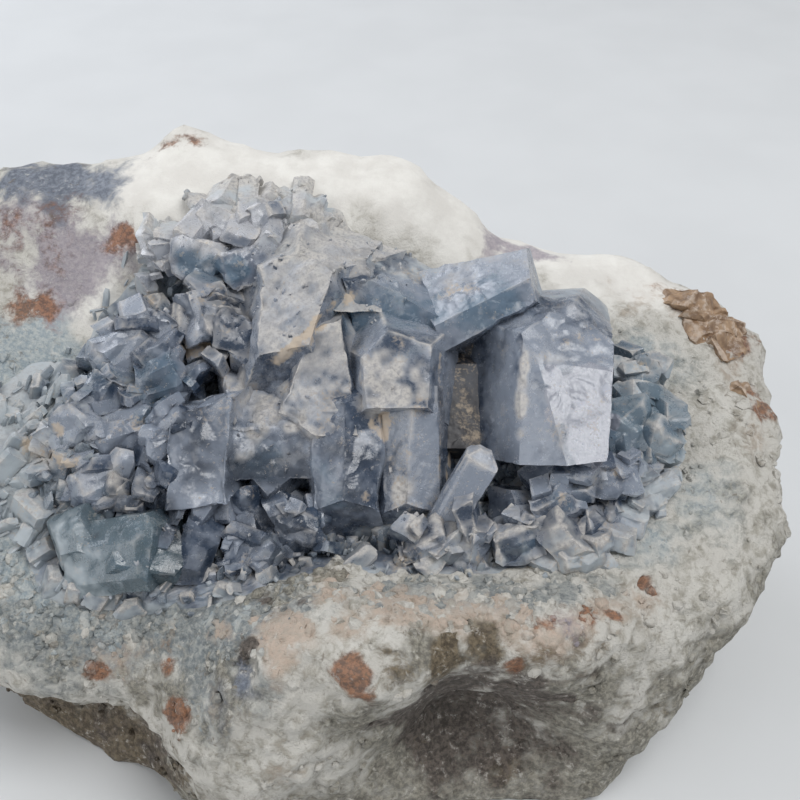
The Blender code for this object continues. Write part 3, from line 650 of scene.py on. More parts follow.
@dataclass(frozen=True)
class RockFinish:
    """The geode's wall: massive, sugary celestite and clay-stained limestone, broken by hand, not polished.

    The eye sees dull white and cream, weathered to grey-green, darker grey and brown low down, which is
    partly painted shade, stained with rust and clay, with blue grain where the wall is freshly broken.
    """

    name: str = "broken pale geode wall"
    white: str = "#E5E3DD"
    shade: str = "#D8D5CF"
    film: str = "#BAB7AE"
    lichen: str = "#928D80"
    dirt: str = "#6B6152"
    frost: str = "#D6D3CC"
    roughness: float = 0.85
    ior: float = 1.55
    relief_mm: float = 0.6

    # Each stain's attribute, its two colours, how much it covers, and how soft its edge is.
    STAINS = (
        ("blue", "#8C9AA2", "#B4BAB9", 0.9, 0.44),
        ("mist", "#6F7679", "#9A9D9A", 0.9, 0.44),
        ("cream", "#C0AD9D", "#B3A698", 0.9, 0.4),
        ("grey", "#615E55", "#9B978A", 0.9, 0.44),
        # Brown stain, and at the front foot under the overhang also painted shade.
        ("umber_and_shade", "#4A3F2F", "#766851", 0.9, 0.4),
        ("mauve", "#A39AA0", "#8B848E", 0.85, 0.44),
        # The scoop and pits of the front: their grey-brown colour, with painted shade.
        ("cave_colour_and_shade", "#3F3934", "#6B625B", 0.95, 0.4),
        ("slate", "#5C6472", "#7F8692", 0.95, 0.44),
        ("rust", "#9C6E50", "#65493A", 0.9, 0.26),
    )
    STAIN_LEVEL = 0.68

    def material(self) -> bpy.types.Material:
        """The finish as a material."""
        tree = Tree(self.name)
        place = tree.add("TexCoord", out="Object")
        tree.read(("weather", *(row[0] for row in self.STAINS)), {
            "broad": (place, 7.0, 4.0, 0.6), "patch": (place, 2.6, 5.0, 0.65, 0.4),
            "grain": (place, 1.0, 5.0, 0.7), "speck": (place, 0.4, 3.0, 0.6),
            "dirt": (place, 1.7, 6.0, 0.7, 0.8), "frost": (place, 2.0, 6.0, 0.75, 0.3),
        })
        weather = tree.values["weather"]
        colour = tree.layer(linear(self.shade), linear(self.white), {"broad": 1}, 0.35, 0.7)[0]
        # Weathering: a grey film and grey-green clouds under the stains, dirt and frosted grains over them.
        # It leaves the clean white top alone.
        filmed = tree.add("Math", (weather, 0.6), operation="MULTIPLY")
        colour = tree.add("Mix", {0: filmed, 6: colour, 7: linear(self.film)}, 2, data_type="RGBA")
        colour = tree.layer(colour, linear(self.lichen), {"patch": 1}, 0.44, 0.66, 0.75, weather)[0]
        for name, main, other, cover, soft in self.STAINS:
            tint = tree.layer(linear(main), linear(other), {"grain": 1}, 0.38, 0.62)[0]
            colour = tree.layer(colour, tint, {name: 1, "patch": 0.7, "grain": 0.3}, self.STAIN_LEVEL,
                                self.STAIN_LEVEL + soft, cover)[0]
        colour = tree.layer(colour, linear(self.dirt), {"dirt": 1}, 0.56, 0.72, 0.7, weather)[0]
        colour = tree.layer(colour, linear(self.frost), {"frost": 1}, 0.56, 0.68, 0.6, weather)[0]
        height = tree.add("Math", (tree.values["speck"], 0.5, tree.values["grain"]), operation="MULTIPLY_ADD")
        height = tree.add("Math", (tree.values["patch"], 1.2, height), operation="MULTIPLY_ADD")
        force = tree.add("MapRange", (weather, 0.0, 1.0, 0.25, 0.9))
        bump = tree.add("Bump", {"Height": height, "Strength": force, "Distance": self.relief_mm * MM})
        return tree.finish(Surface=tree.add("BsdfPrincipled", {
            "Base Color": colour, "Roughness": self.roughness, "IOR": self.ior, "Normal": bump}))


@dataclass(frozen=True)
class HoneyFinish:
    """Calcite, brown and resinous, broken along its cleavage.

    The eye sees warm brown faces, bright streaks where the cleavage catches the light, painted into the
    colour as highlights, and pale dust.
    """

    name: str = "honey calcite, cleaved"
    brown: str = "#78604B"
    honey: str = "#A88D72"
    streak_highlight: str = "#A58C70"
    dust: str = "#B9A999"
    roughness: float = 0.3
    dusty_roughness: float = 0.8
    ior: float = 1.6
    relief_mm: float = 0.3

    # The cleavage's pattern is stretched along the crystal.
    STRETCH = (1.0, 1.0, 0.08)

    def material(self) -> bpy.types.Material:
        """The finish as a material."""
        tree = Tree(self.name)
        place = tree.add("TexCoord", out="Object")
        grain = tree.add("Attribute", out="Vector", attribute_name="grain")
        lines = tree.add("Mapping", {"Vector": grain, "Scale": self.STRETCH})
        tree.read(("dust",), {"streaks": (lines, 0.7, 5.0, 0.65), "patch": (place, 2.5, 5.0, 0.6),
                              "fine": (place, 1.2, 5.0, 0.7)})
        colour = tree.layer(linear(self.brown), linear(self.honey), {"patch": 1}, 0.35, 0.65)[0]
        # Painted highlight: lighter streaks along the cleavage.
        colour = tree.layer(colour, linear(self.streak_highlight), {"streaks": 1}, 0.55, 0.72, 0.7)[0]
        colour, film = tree.layer(colour, linear(self.dust), {"dust": 1, "fine": 1}, 0.8, 1.1, 0.85)
        dull = tree.add("MapRange", (film, 0.0, 1.0, self.roughness, self.dusty_roughness))
        bump = tree.add("Bump", {"Height": tree.values["streaks"], "Strength": 0.5,
                                 "Distance": self.relief_mm * MM})
        return tree.finish(Surface=tree.add("BsdfPrincipled", {
            "Base Color": colour, "Roughness": dull, "IOR": self.ior, "Normal": bump}))


class Piece:
    """Turns a surface into an object of the scene that rides on the specimen's one body."""

    @staticmethod
    def make(name: str, surface: Surface, material: bpy.types.Material, slot: str,
             nodes: tuple[str, ...] = (), crease: float = 28.0) -> bpy.types.Object:
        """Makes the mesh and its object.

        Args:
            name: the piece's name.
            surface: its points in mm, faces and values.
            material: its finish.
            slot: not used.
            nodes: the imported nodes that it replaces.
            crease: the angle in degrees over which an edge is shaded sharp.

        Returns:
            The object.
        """
        mesh = bpy.data.meshes.new(name)
        count = len(surface.faces)
        mesh.vertices.add(len(surface.points))
        mesh.vertices.foreach_set("co", (surface.points * MM).astype(np.float32).ravel())
        mesh.loops.add(count * 3)
        mesh.loops.foreach_set("vertex_index", surface.faces.astype(np.int32).ravel())
        mesh.polygons.add(count)
        mesh.polygons.foreach_set("loop_start", np.arange(0, count * 3, 3, dtype=np.int32))
        for key, values in surface.values.items():
            vector = values.ndim == 2
            layer = mesh.attributes.new(key, "FLOAT_VECTOR" if vector else "FLOAT", "POINT")
            layer.data.foreach_set("vector" if vector else "value", values.astype(np.float32).ravel())
        mesh.update(calc_edges=True)
        mesh.validate()
        mesh.shade_smooth()
        mesh.set_sharp_from_angle(angle=math.radians(crease))
        mesh.materials.append(material)
        piece = bpy.data.objects.new(name, mesh)
        bpy.context.scene.collection.objects.link(piece)
        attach(piece, "root")
        if nodes:
            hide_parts(*nodes)
        log.info("%s: %d triangles", name, count)
        return piece


@dataclass
class GeodeWall:
    """The rock: its whole outside, with the recess that the crust lies in."""

    form: RockForm
    spokes: int = 430
    hidden_rings: int = 12
    rings: int = 218
    # How much closer the spokes lie on the side that faces the viewer.
    front_share: float = 0.42
    hole_apart: float = 6.5
    hole_depth: float = 1.3
    pit_depth: float = 2.0
    facet_cut: float = 4.5

    # The noise in the surface: wavelengths and heights in mm. Knobs and grains: how far apart they are in mm,
    # their reach in cells, their height in mm, and a seed. Facets: width in mm, steepness, and a seed.
    GRAIN = [(8.0, 0.8), (4.2, 0.7), (2.3, 0.45)]
    KNOBS = ((5.2, 0.62, 1.3, 70), (2.6, 0.7, 0.6, 76))
    FACETS = ((15.0, 0.55, 120), (6.0, 0.4, 121))
    # Marks on the bare rock, each row with x, y, z and reach in mm and, where it isn't 1, strength.
    STAINS = {
        "rust": spots("""
        -49 55 88 3.5 .6, -45 56 88 3.5 .5, -81 40 74 7 .32, -75 41 77 6 .3, -70 43 78 5 .3, -72 34 70 6 .25,
        -81 31 68 6 .2, -79 25 63 5 .6, -75 26 64 4.5 .55, -57 36 74 3.8 .55, -8 -52 46 3.2 .9,
        -39 -49 28 3 .9, -41 -41 33 2.4 .5, -55 -40 29 1.9 .7, 45 -31 43 2.2 .8, 24 -41 45 3 .4,
        33 -39 44 2.6 .5, 37 -38 43 2 .5, 19 -46 40 2.6 .7, 63 33 61 5 .5, 67 27 59 6 .5, 71 22 57 5 .5,
        73 8 51 4 .5, 72 12 53 3 .6
        """),
        "cream": spots("""
        0 -40 47 8 .6, 6 -42 47 7 .6, 12 -42 46 7 .6, 18 -42 45 6 .6, 24 -44 44 7 .6, 30 -41 45 6 .6,
        36 -37 44 6 .5, 43 -34 42 6 .4, -8 -44 49 6 .5, -19 -46 47 5.5 .9, -13 -33 46 3 .8, -74 -13 48 5 .8,
        -30 -40 41 4 .5, -12 -38 47 4 .6, -5 -38 47 4 .6, -20 -41 46 4 .5, -30 -50 36 9 .35, -52 -40 31 9 .4,
        60 30 61 9 .4, 70 0 50 7 .4, 50 30 60 9 .3, 68 16 55 6 .4, -20 -56 25 9 .3
        """),
        "grey": spots("""
        -27 -32 44 5 .75, -20 -35 46 5 .7, -12 -32 47 5 .6, -7 -53 34 8 .7, -3 -50 24 9 .7, 0 -46 17 9,
        28 -47 34 8 .8, 35 -46 32 9 .7, 37 -47 12 12 .8, 44 -46 16 12 .7, 51 -41 25 11 .8, 59 -34 31 10 .7,
        29 -45 22 10 .8, 66 -24 30 12 .7, 72 -10 32 14 .6, -30 -50 40 7 .7, -40 -45 30 7 .6, -46 -42 27 7 .6,
        -35 -50 28 7 .5, -28 -54 26 9 .4, -60 -38 4 16 .7, -40 -47 8 10 .5, 20 -47 39 5 .6, 40 -40 36 6 .5,
        -62 -40 30 6 .4, 3 -47 45 5, 8 -47 43 5, 14 -46 43 5 .9, 60 12 56 8 .35, 66 0 51 8 .35,
        55 -20 47 8 .35, 64 -14 47 8 .4
        """),
        "blue": spots("""
        50 19 58 9 .5, 58 15 55 9 .4, 57 -14 47 10 .5, 46 -22 45 10 .55, 60 -21 44 8 .3, -79 14 59 14,
        -74 20 60 8, -74 1 54 14, -71 -9 50 14, -73 -20 43 14, -66 -31 38 10 .8, -55 -34 36 10 .8,
        -90 -10 46 16 .8, -36 -38 38 9 .8, -28 -42 42 9 .7, -90 12 58 14 .8, -20 -38 46 6 .5, -34 -50 33 8 .5
        """),
        "mist": spots("""
        -38 -36 38 6 .8, -33 -41 40 6 .9, -29 -45 41 6 .9, -35 -44 35 6 .9, -30 -49 37 6 .9, -26 -44 44 5 .8,
        -23 -52 41 5 .6, -40 -33 38 6 .8, -46 -34 36 7 .8, -56 -36 33 7 .7, -24 -40 44 5 .7, -71 -35 35 8 .7,
        -65 -37 34 7 .7, -60 -38 32 7 .7, -54 -38 32 7 .6, -49 -39 31 6 .6, -62 -40 28 7 .6, -53 -42 26 6 .5,
        -45 -37 34 6 .7, -27 -30 43 5 .8, -21 -34 45 5 .7, -16 -37 47 4 .6, -10 -36 47 5 .5, -12 -42 49 4 .4,
        5 -34 45 6 .8, 16 -34 45 6 .8, 28 -34 44 6 .7, -2 -36 47 5 .7, 10 -37 46 5 .6, 22 -37 45 5 .6,
        36 -32 45 5 .6, -28 -38 42 6 .9, -40 -38 37 6 .8, -20 -36 46 6 .9, -17 -40 47 5 .6
        """),
        # The first five spots lie on the band under the overhang at the front foot: its brown, with painted
        # shade.
        "umber_and_shade": spots("""
        -62 -37 4 9 .9, -55 -40 5 9 .9, -48 -43 7 8 .9, -39 -50 15 6 .7, -72 -34 8 10 .9, 19 -46 8 4 .7,
        4 -48 43 4 .5, 20 -47 40 4 .5, -2 -49 47 4 .4, 8 -47 43 5 .8, 14 -46 43 5 .7, 0 -51 45 4 .5,
        24 -46 42 4 .5, 33 -44 41 4 .5, 48 -42 22 5 .4, 62 -30 33 4 .4
        """),
        "mauve": spots("""
        24 44 70 6 .9, 30 44 68 6 .8, -70 33 68 12 .8, -60 34 72 8 .7, -80 42 75 10 .6, -72 40 75 9 .6,
        28 -40 44 4 .5
        """),
        # The scoop and pits of the front, darkened: their grey-brown colour, with painted shade.
        "cave_colour_and_shade": spots("""
        -26 -46 43 2.4 .9, -29 -47 42 1.8 .7, -17 -38.5 47 2 .6, -24 -36 45 2 .6, 7 -44 29 10, 15 -39 22 11,
        21 -46 32 7, 8 -42 13 11 .9, 15 -41 12 11 .7, 23 -42 14 10 .6, -59 -38 8 14 .4, -45 -44 11 10 .5,
        -72 -34 12 12 .4, 14 -47 38 6 .6, 22 -46 25 7 .8, 40 -43 30 3 .6, 46 -40 30 2.5 .6, 33 -47 26 3 .6,
        40 -45 21 3.5 .6, 52 -36 24 3 .6
        """) + seam((-4, -50, 40), (2, -47, 43), 2.5, 0.6) + seam((22, -47, 37), (33, -45, 37), 2.5, 0.6),
        "slate": spots("""
        -73 50 80 7, -82 51 79 7, -64 47 79 6 .8, -68 48 81 5 .8, -31 -50 38 3 .7, -26 -49 40 3 .8
        """),
    }
    # The clean white top: the weather leaves it alone.
    CLEAN = spots("""
    -54 48 84 12, -40 48 84 12, -30 46 84 12, -14 46 82 12, 0 46 80 13, 12 45 74 13, 24 45 69 13,
    38 42 64 12, 50 38 62 10, -20 56 66 16, 10 56 60 16, -50 56 66 16, -62 32 66 6 .6, -50 39 78 7 .8,
    -62 27 64 7 .6, -70 24 62 6 .5
    """)
    PITS = spots("""
    -25 -49 42 1.8, 45 -31 43 1.6, -31 -50 36 1.2, 19 -38 10 2, -62 -39 30 1, 26 -43 42 1, 52 -33 36 1,
    -40 -46 20 1.3, 5 -48 42 1.2, 33 -45 36 1.5
    """)

    def build(self, material: bpy.types.Material) -> None:
        """Makes the rock: rings spread out from the middle of the crust, over the rim, to the far side."""
        form = self.form
        step = np.arange(self.spokes) / self.spokes * 2 * math.pi
        front = math.atan2(-form.north[1], -form.east[1])
        turn = step - self.front_share * np.sin(step - front)
        near = np.linspace(0.03, 0.97, self.hidden_rings)[:, None] * form.limit(turn)
        out = ((np.arange(self.rings) + 0.5) / (self.rings + 0.5))[:, None] ** 1.3
        far = form.limit(turn) * 0.99 + (math.pi - 0.03 - form.limit(turn)) * out
        reach = np.vstack([near, far])
        directions = form.toward(np.broadcast_to(turn, reach.shape), reach).reshape(-1, 3)
        share = form.crust_share(directions)
        points = form.surface(directions, share * form.CRUST_THICKNESS)
        marks = self.marks(points)
        rough = self.roughness(points, marks) * (1 - share)
        points = points + unit(points - form.HEART) * rough[:, None]
        points[:, 2] = np.maximum(points[:, 2], 0.0)
        points, faces = capped(points, len(reach), self.spokes)
        values = {name: np.append(mask, [0.0, 0.0]) for name, mask in marks.items()}
        Piece.make("rock", Surface(points, faces, values), material, "rock", ("matrix_rock",), 50.0)

    def marks(self, points: Array) -> dict[str, Array]:
        """Each stain's mask over the points."""
        marks = {name: spot_mask(points, stain) for name, stain in self.STAINS.items()}
        # Painted shade: the grey stain grows towards the bottom, so the rock is darker low down.
        low = ease((30 - points[:, 2]) / 24)
        marks["grey"] = np.maximum(marks["grey"], 0.6 * low)
        marks["weather"] = 1 - np.clip(1.6 * spot_mask(points, self.CLEAN, 56), 0, 0.95)
        return marks

    def roughness(self, points: Array, marks: dict[str, Array]) -> Array:
        """The fine relief in mm: noise, knobs and grains as rounded cells, holes, facets and pits.

        Args:
            points: places on the rock's form, in mm.
            marks: the stains' masks there. The clean white top is smoother than the rest, and the scoop and
                pits
            on the front are the smoothest.

        Returns:
            How far each point stands out.
        """
        height = layered_noise(points, self.GRAIN, 60)
        for wide, reach, high, seed in self.KNOBS:
            away, luck = cell_distance(points / wide, seed)
            height = height + high * np.maximum(reach - away, 0) * (1 + luck)
        away, luck = cell_distance(points / self.hole_apart + 0.37, 78)
        height = height - self.hole_depth * (luck > 0.35) * np.exp(-(away / 0.24) ** 2)
        height = height * (0.3 + 0.7 * marks["weather"]) * (1 - 0.9 * marks["cave_colour_and_shade"])
        # The back, below the crest, and the left end are broken into large facets, cut inwards.
        behind = ease((points[:, 1] - 36) / 10) * ease((58 - points[:, 2]) / 10)
        broken = np.maximum(behind, ease((-92 - points[:, 0]) / 8)) * ease((points[:, 2] - 3) / 8)
        facets = sum(shard_relief(points, wide, seed, steep)[0] for wide, steep, seed in self.FACETS)
        height = height + broken * np.clip(facets - self.facet_cut, -self.facet_cut, 0)
        for pit in self.PITS:
            away = np.linalg.norm(points - np.array(pit.place), axis=1) / pit.reach
            height = height - self.pit_depth * np.exp(-away ** 4)
        return height


@dataclass
class Crumbs:
    """Grains and lumps that stand on the weathered rock, in the rock's own finish."""

    wall: GeodeWall
    tries: int = 17000
    most: int = 4000
    rim_tries: int = 90000
    rim_most: int = 1800
    rim_reach: float = 1.9

    def build(self, material: bpy.types.Material) -> None:
        """Makes the lumps as one piece."""
        form = self.wall.form
        directions, points, normals = form.scatter(self.tries, 31)
        marks = self.wall.marks(points)
        wanted = marks["weather"] * (1 - 0.7 * marks["cave_colour_and_shade"]) * (form.inside(directions) < 0.05)
        wanted = wanted * ease((points[:, 2] - 2) / 6) * ease((30 - points[:, 1]) / 20)
        keep = chance(len(points), 7, 31) < wanted
        points, normals = points[keep][:self.most], normals[keep][:self.most]
        size = 0.35 + 1.1 * chance(len(points), 8, 31) ** 3
        surface = lumps(points - 0.1 * normals, normals, size)
        marks = {name: mask[keep][:self.most] for name, mask in marks.items()}
        self.dress("crumbs", surface, marks, 0.0, material)
        self.build_rim(material)

    def build_rim(self, material: bpy.types.Material) -> None:
        """Makes the rounded grains of 1 to 4 mm in front of the crust, and where the rock is blue."""
        form = self.wall.form
        directions, points, normals = form.scatter(self.rim_tries, 71, self.rim_reach)
        inside = form.inside(directions)
        near = ease((inside + 0.15) / 0.12)
        front = (points[:, 1] < 8) & (points[:, 0] < 40) & (inside <= 0.04)
        wanted = np.maximum(1.2 * spot_mask(points, self.wall.STAINS["blue"], 41) - 0.1, 0.8 * near) * front
        keep = chance(len(points), 4, 71) < wanted
        points, normals, near = (each[keep][:self.rim_most] for each in (points, normals, near))
        luck = chance(len(points), 0, 73)
        size = 0.4 + 0.5 * luck ** 2 + near * (0.2 + 1.1 * chance(len(points), 1, 73) ** 2)
        surface = lumps(points - 0.3 * size[:, None] * normals, normals, size)
        self.dress("rim_grains", surface, self.wall.marks(points), 0.8, material)

    def dress(self, name: str, surface: Surface, marks: dict[str, Array], spread: float,
              material: bpy.types.Material) -> None:
        """Makes a piece of lumps with the wall's stains, each stronger or weaker by chance on each lump."""
        for number, (stain, mask) in enumerate(marks.items()):
            luck = 1 + spread * (2 * chance(len(mask), number, 77) - 1) * (stain != "weather")
            surface.values[stain] = np.repeat(mask * luck, LUMP_POINTS)
        Piece.make(name, surface, material, "rock", crease=50.0)


# The rings of a lump, as angles above its middle.
LUMP_RINGS = np.radians([62, 22, -18, -58])
LUMP_SPOKES = 6
LUMP_POINTS = len(LUMP_RINGS) * LUMP_SPOKES + 2


def lumps(places: Array, normals: Array, size: Array) -> Surface:
    """Many uneven little balls as one surface: four rings of six points and two poles each.

    Each point is place + size · direction · (1 + chance), flattened along the normal.

    Args:
        places: their middles, in mm.
        normals: the direction in which each is flattened.
        size: each one's radius in mm.

    Returns:
        The closed surfaces.
    """
    count = len(places)
    turn = np.arange(LUMP_SPOKES) / LUMP_SPOKES * 2 * math.pi
    ring = np.stack([np.cos(turn), np.sin(turn)], axis=-1)
    rings = [np.concatenate([math.cos(lift) * ring, np.full((LUMP_SPOKES, 1), math.sin(lift))], axis=1)
             for lift in LUMP_RINGS]
    ball = np.concatenate([*rings, [(0.0, 0.0, 1.0)], [(0.0, 0.0, -1.0)]])
    number = np.arange(count)[:, None]
    uneven = 1 + 0.28 * lattice_value(number, np.arange(LUMP_POINTS), 3, 19)
    long = 1 + 0.35 * lattice_value(number, 0, 5, 23)
    side = unit(np.cross(normals, chances(count, 3, 37) - 0.5))
    deep = np.cross(normals, side)
    local = ball[None] * uneven[..., None] * size[:, None, None]
    points = (places[:, None] + side[:, None] * (local[..., :1] * long[..., None])
              + deep[:, None] * local[..., 1:2] + 0.7 * normals[:, None] * local[..., 2:])
    return Surface(*repeated(points, len(LUMP_RINGS), LUMP_SPOKES))


@dataclass
class HoneyCrystals:
    """The brown calcite on the right of the rim."""

    rings: int = 40
    spokes: int = 56
    dusty: float = 0.35

    # How deep the ends are broken and the faces weathered, and how wide the facets are, in mm.
    RELIEF = (0.4, 0.4, 2.6)
    # Each row: the middle of its free end, the way it grew, its width, depth and length, all in mm.
    ROWS = (
        ((59.5, 33, 62), (-0.2, 0.1, 0.95), (9, 7, 8)), ((63, 30.5, 62), (0.0, -0.2, 0.95), (12, 9, 9)),
        ((67.5, 28.5, 61), (0.2, -0.1, 0.95), (12, 10, 9)), ((71, 25, 59), (0.4, -0.2, 0.85), (11, 9, 9)),
        ((65.5, 24.5, 59.5), (0.1, -0.4, 0.9), (10, 8, 8)), ((70, 21.5, 57.5), (0.4, -0.4, 0.8), (9, 7, 8)),
        ((68, 33, 59.5), (0.3, 0.4, 0.8), (9, 8, 8)), ((72.5, 13, 53), (0.6, -0.1, 0.7), (9, 6, 7)),
        ((73, 8.5, 51.8), (0.6, -0.2, 0.7), (8, 5, 6)),
    )

    def build(self, material: bpy.types.Material) -> None:
        """Makes them as one piece."""
        parts = []
        for k, (place, axis, size) in enumerate(self.ROWS):
            side = (1.0, -0.6 + 0.2 * k, 0.3)
            crystal = Crystal.grown(place, axis, side, size, list(End)[k % len(End)], 60 + k)
            skin = crystal_surface(crystal, self.rings, self.spokes, 500 + 7 * k, *self.RELIEF)
            parts.append(coat(skin, self.dusty, Marks()))
        Piece.make("honey_calcite", joined(parts), material, "rock")


# The large crystals grow out of a slope that faces the viewer. Its frame, in which they are laid out, has
# its origin here, x to the right, y up the slope and z straight out of it.
SLOPE_ORIGIN = np.array([0.0, 0.0, 60.0])
SLOPE_TILT = math.radians(40)
SLOPE = np.array([[1, 0, 0], [0, math.sin(SLOPE_TILT), math.cos(SLOPE_TILT)],
                  [0, -math.cos(SLOPE_TILT), math.sin(SLOPE_TILT)]])


class End(Enum):
    """How a crystal's end is cut: the slope of its two faces across the width, in degrees, and the share of
    the width that they take, then the same two across the depth."""

    BLOCK = (48, 0.16, 45, 0.14)
    ROOF = (38, 0.85, 50, 0.12)
    CHISEL = (50, 0.14, 40, 0.90)
    POINT = (42, 0.70, 46, 0.60)
    WEDGE = (30, 0.30, 34, 0.55)


@dataclass(frozen=True)
class Crystal:
    """A convex crystal in the slope's frame: a place at its free end, and the faces round that place."""

    place: Array
    normals: Array
    distances: Array
    middle: Array | None = None

    PRISM_TURN = math.radians(38)
    # How far two of a prism's faces are turned from square, in degrees: celestite's sections are rhombs.
    SLANT = 26.0
    CORNER_CUT = 0.1
    FACE_LEAN = 2.0
    CORNER_CHANCE = 0.06
    END_CHANCE = 0.45
    SEED_STEP = 31

    @classmethod
    def named(cls, name: str) -> list["Crystal"]:
        """The large crystals that the tables FACED and GROWN give under this name."""
        crystals = []
        for table in filter(None, FACED.get(name, "").split(";")):
            place, *faces = rows(table)
            faces = np.array(faces)
            crystals.append(cls(np.array(place), unit(faces[:, :3]), faces[:, 3]))
        for row in filter(None, GROWN.get(name, "").split(",")):
            *numbers, end, seed = row.split()
            place, axis, side, size = np.array(numbers, float).reshape(4, 3)
            crystals.append(cls.grown(place, axis, side, size, End[end], int(seed)))
        return crystals

    @classmethod
    def grown(cls, place: Place, axis: Place, side: Place, size: Place, end: End, seed: int) -> "Crystal":
        """A prism with an end cut in the given way.

        Args:
            place: the middle of its free end.
            axis: the direction that it grew in.
            side: the direction of its width.
            size: its width, depth and length.
            end: how its end is cut.
            seed: fixes what chance does to it.

        Returns:
            The crystal.
        """
        width, depth, length = size[0] / 2, size[1] / 2, size[2]
        slant = math.radians(cls.SLANT) * lattice_value(seed, 9, 1, 3)
        x, y = math.cos(slant), math.sin(slant)
        faces = [(x, y, 0, width), (-x, -y, 0, width), (0, 1, 0, depth), (0, -1, 0, depth)]
        x, y = math.cos(cls.PRISM_TURN), math.sin(cls.PRISM_TURN)
        corner = width * x + depth * y
        for k, (right, back) in enumerate(((1, 1), (-1, 1), (-1, -1), (1, -1))):
            cut = cls.CORNER_CUT + cls.CORNER_CHANCE * lattice_value(seed, k, 5, 2)
            faces.append((right * x, back * y, 0, corner * (1 - cut)))
        side_slope, side_share, deep_slope, deep_share = end.value
        for k, sign in enumerate((1, -1)):
            slope = math.radians(side_slope)
            share = side_share * (1 + cls.END_CHANCE * lattice_value(seed, k, 1, 4))
            faces.append((sign * math.sin(slope), 0, math.cos(slope), width * math.sin(slope) * (1 - share)))
            slope = math.radians(deep_slope)
            share = deep_share * (1 + cls.END_CHANCE * lattice_value(seed, k, 3, 6))
            faces.append((0, sign * math.sin(slope), math.cos(slope), depth * math.sin(slope) * (1 - share)))
        faces = np.array([*faces, (0, 0, 1, 0), (0, 0, -1, length)], float)
        number = np.arange(len(faces))[:, None] + seed * cls.SEED_STEP
        lean = lattice_value(number, np.arange(3), 7, 11) * math.radians(cls.FACE_LEAN)
        up = unit(np.array(axis, float))
        across = np.array(side, float)
        across = unit(across - up * (across @ up))
        normals = unit(faces[:, :3] + lean) @ np.stack([across, np.cross(up, across), up])
        return cls(np.array(place, float), normals, faces[:, 3], -0.5 * length * up)

    def broken(self, count: int, seed: int) -> "Crystal":
        """The same crystal with its end broken off along a few slanting planes."""
        luck = chances(count, 3, seed)
        turn = 2 * math.pi * luck[:, :1]
        aside = np.cos(turn) * self.normals[0] + np.sin(turn) * self.normals[2]
        way = unit(aside + (0.2 + 1.1 * luck[:, 1:2]) * self.normals[-2])
        reach = sum(np.abs(way @ self.normals[k]) * self.distances[k] for k in (0, 2))
        normals = np.vstack([self.normals[:4], way, self.normals[4:]])
        reach = reach * (0.5 + 0.35 * luck[:, 2])
        distances = np.concatenate([self.distances[:4], reach, self.distances[4:]])
        return Crystal(self.place, normals, distances, self.middle)

    def offshoots(self, count: int, seed: int) -> list["Crystal"]:
        """Smaller, flatter crystals grown together with this one, at all angles round its end."""
        half = self.distances[:4].mean()
        axis = self.normals[-2]
        young = []
        for k in range(count):
            luck = chance(8, k, seed)
            turn = 2 * math.pi * (k + 0.7 * luck[0]) * 0.382
            aside = math.cos(turn) * self.normals[0] + math.sin(turn) * self.normals[2]
            scale = 0.3 + 0.4 * luck[1] ** 2 + (0.25 if k < 4 else 0.0)
            place = self.place + half * ((0.75 + 0.4 * luck[7]) * aside - (0.05 + 1.1 * luck[2]) * axis)
            normals = unit(self.normals + np.cross(1.5 * (luck[3:6] - 0.5), self.normals))
            distances = self.distances * scale
            middle = -0.5 * distances[-1] * normals[-2]
            thin = 0 if k % 2 else 2
            distances[thin:thin + 2] *= 0.4 + 0.4 * luck[6]
            young.append(Crystal(place, normals, distances, middle).broken(1, seed + 7 * k))
        return young

    def in_world(self) -> "Crystal":
        """The same crystal in the world's frame."""
        middle = None if self.middle is None else self.middle @ SLOPE
        return Crystal(SLOPE_ORIGIN + self.place @ SLOPE, self.normals @ SLOPE, self.distances, middle)

    def centre(self) -> Array:
        """A grown crystal's middle, or the point farthest inside every face, out of a block of tries."""
        if self.middle is not None:
            return self.middle
        across, down = np.linspace(-9, 9, 19), np.linspace(-24, -1, 24)
        tries = np.stack(np.meshgrid(across, across, down, indexing="ij"), -1).reshape(-1, 3) @ SLOPE
        slack = (self.distances - tries @ self.normals.T).min(axis=1)
        return tries[slack.argmax()]


# Nearer to an edge than this, in mm, a point counts as lying on both of its faces.
EDGE_BLEND = 0.12


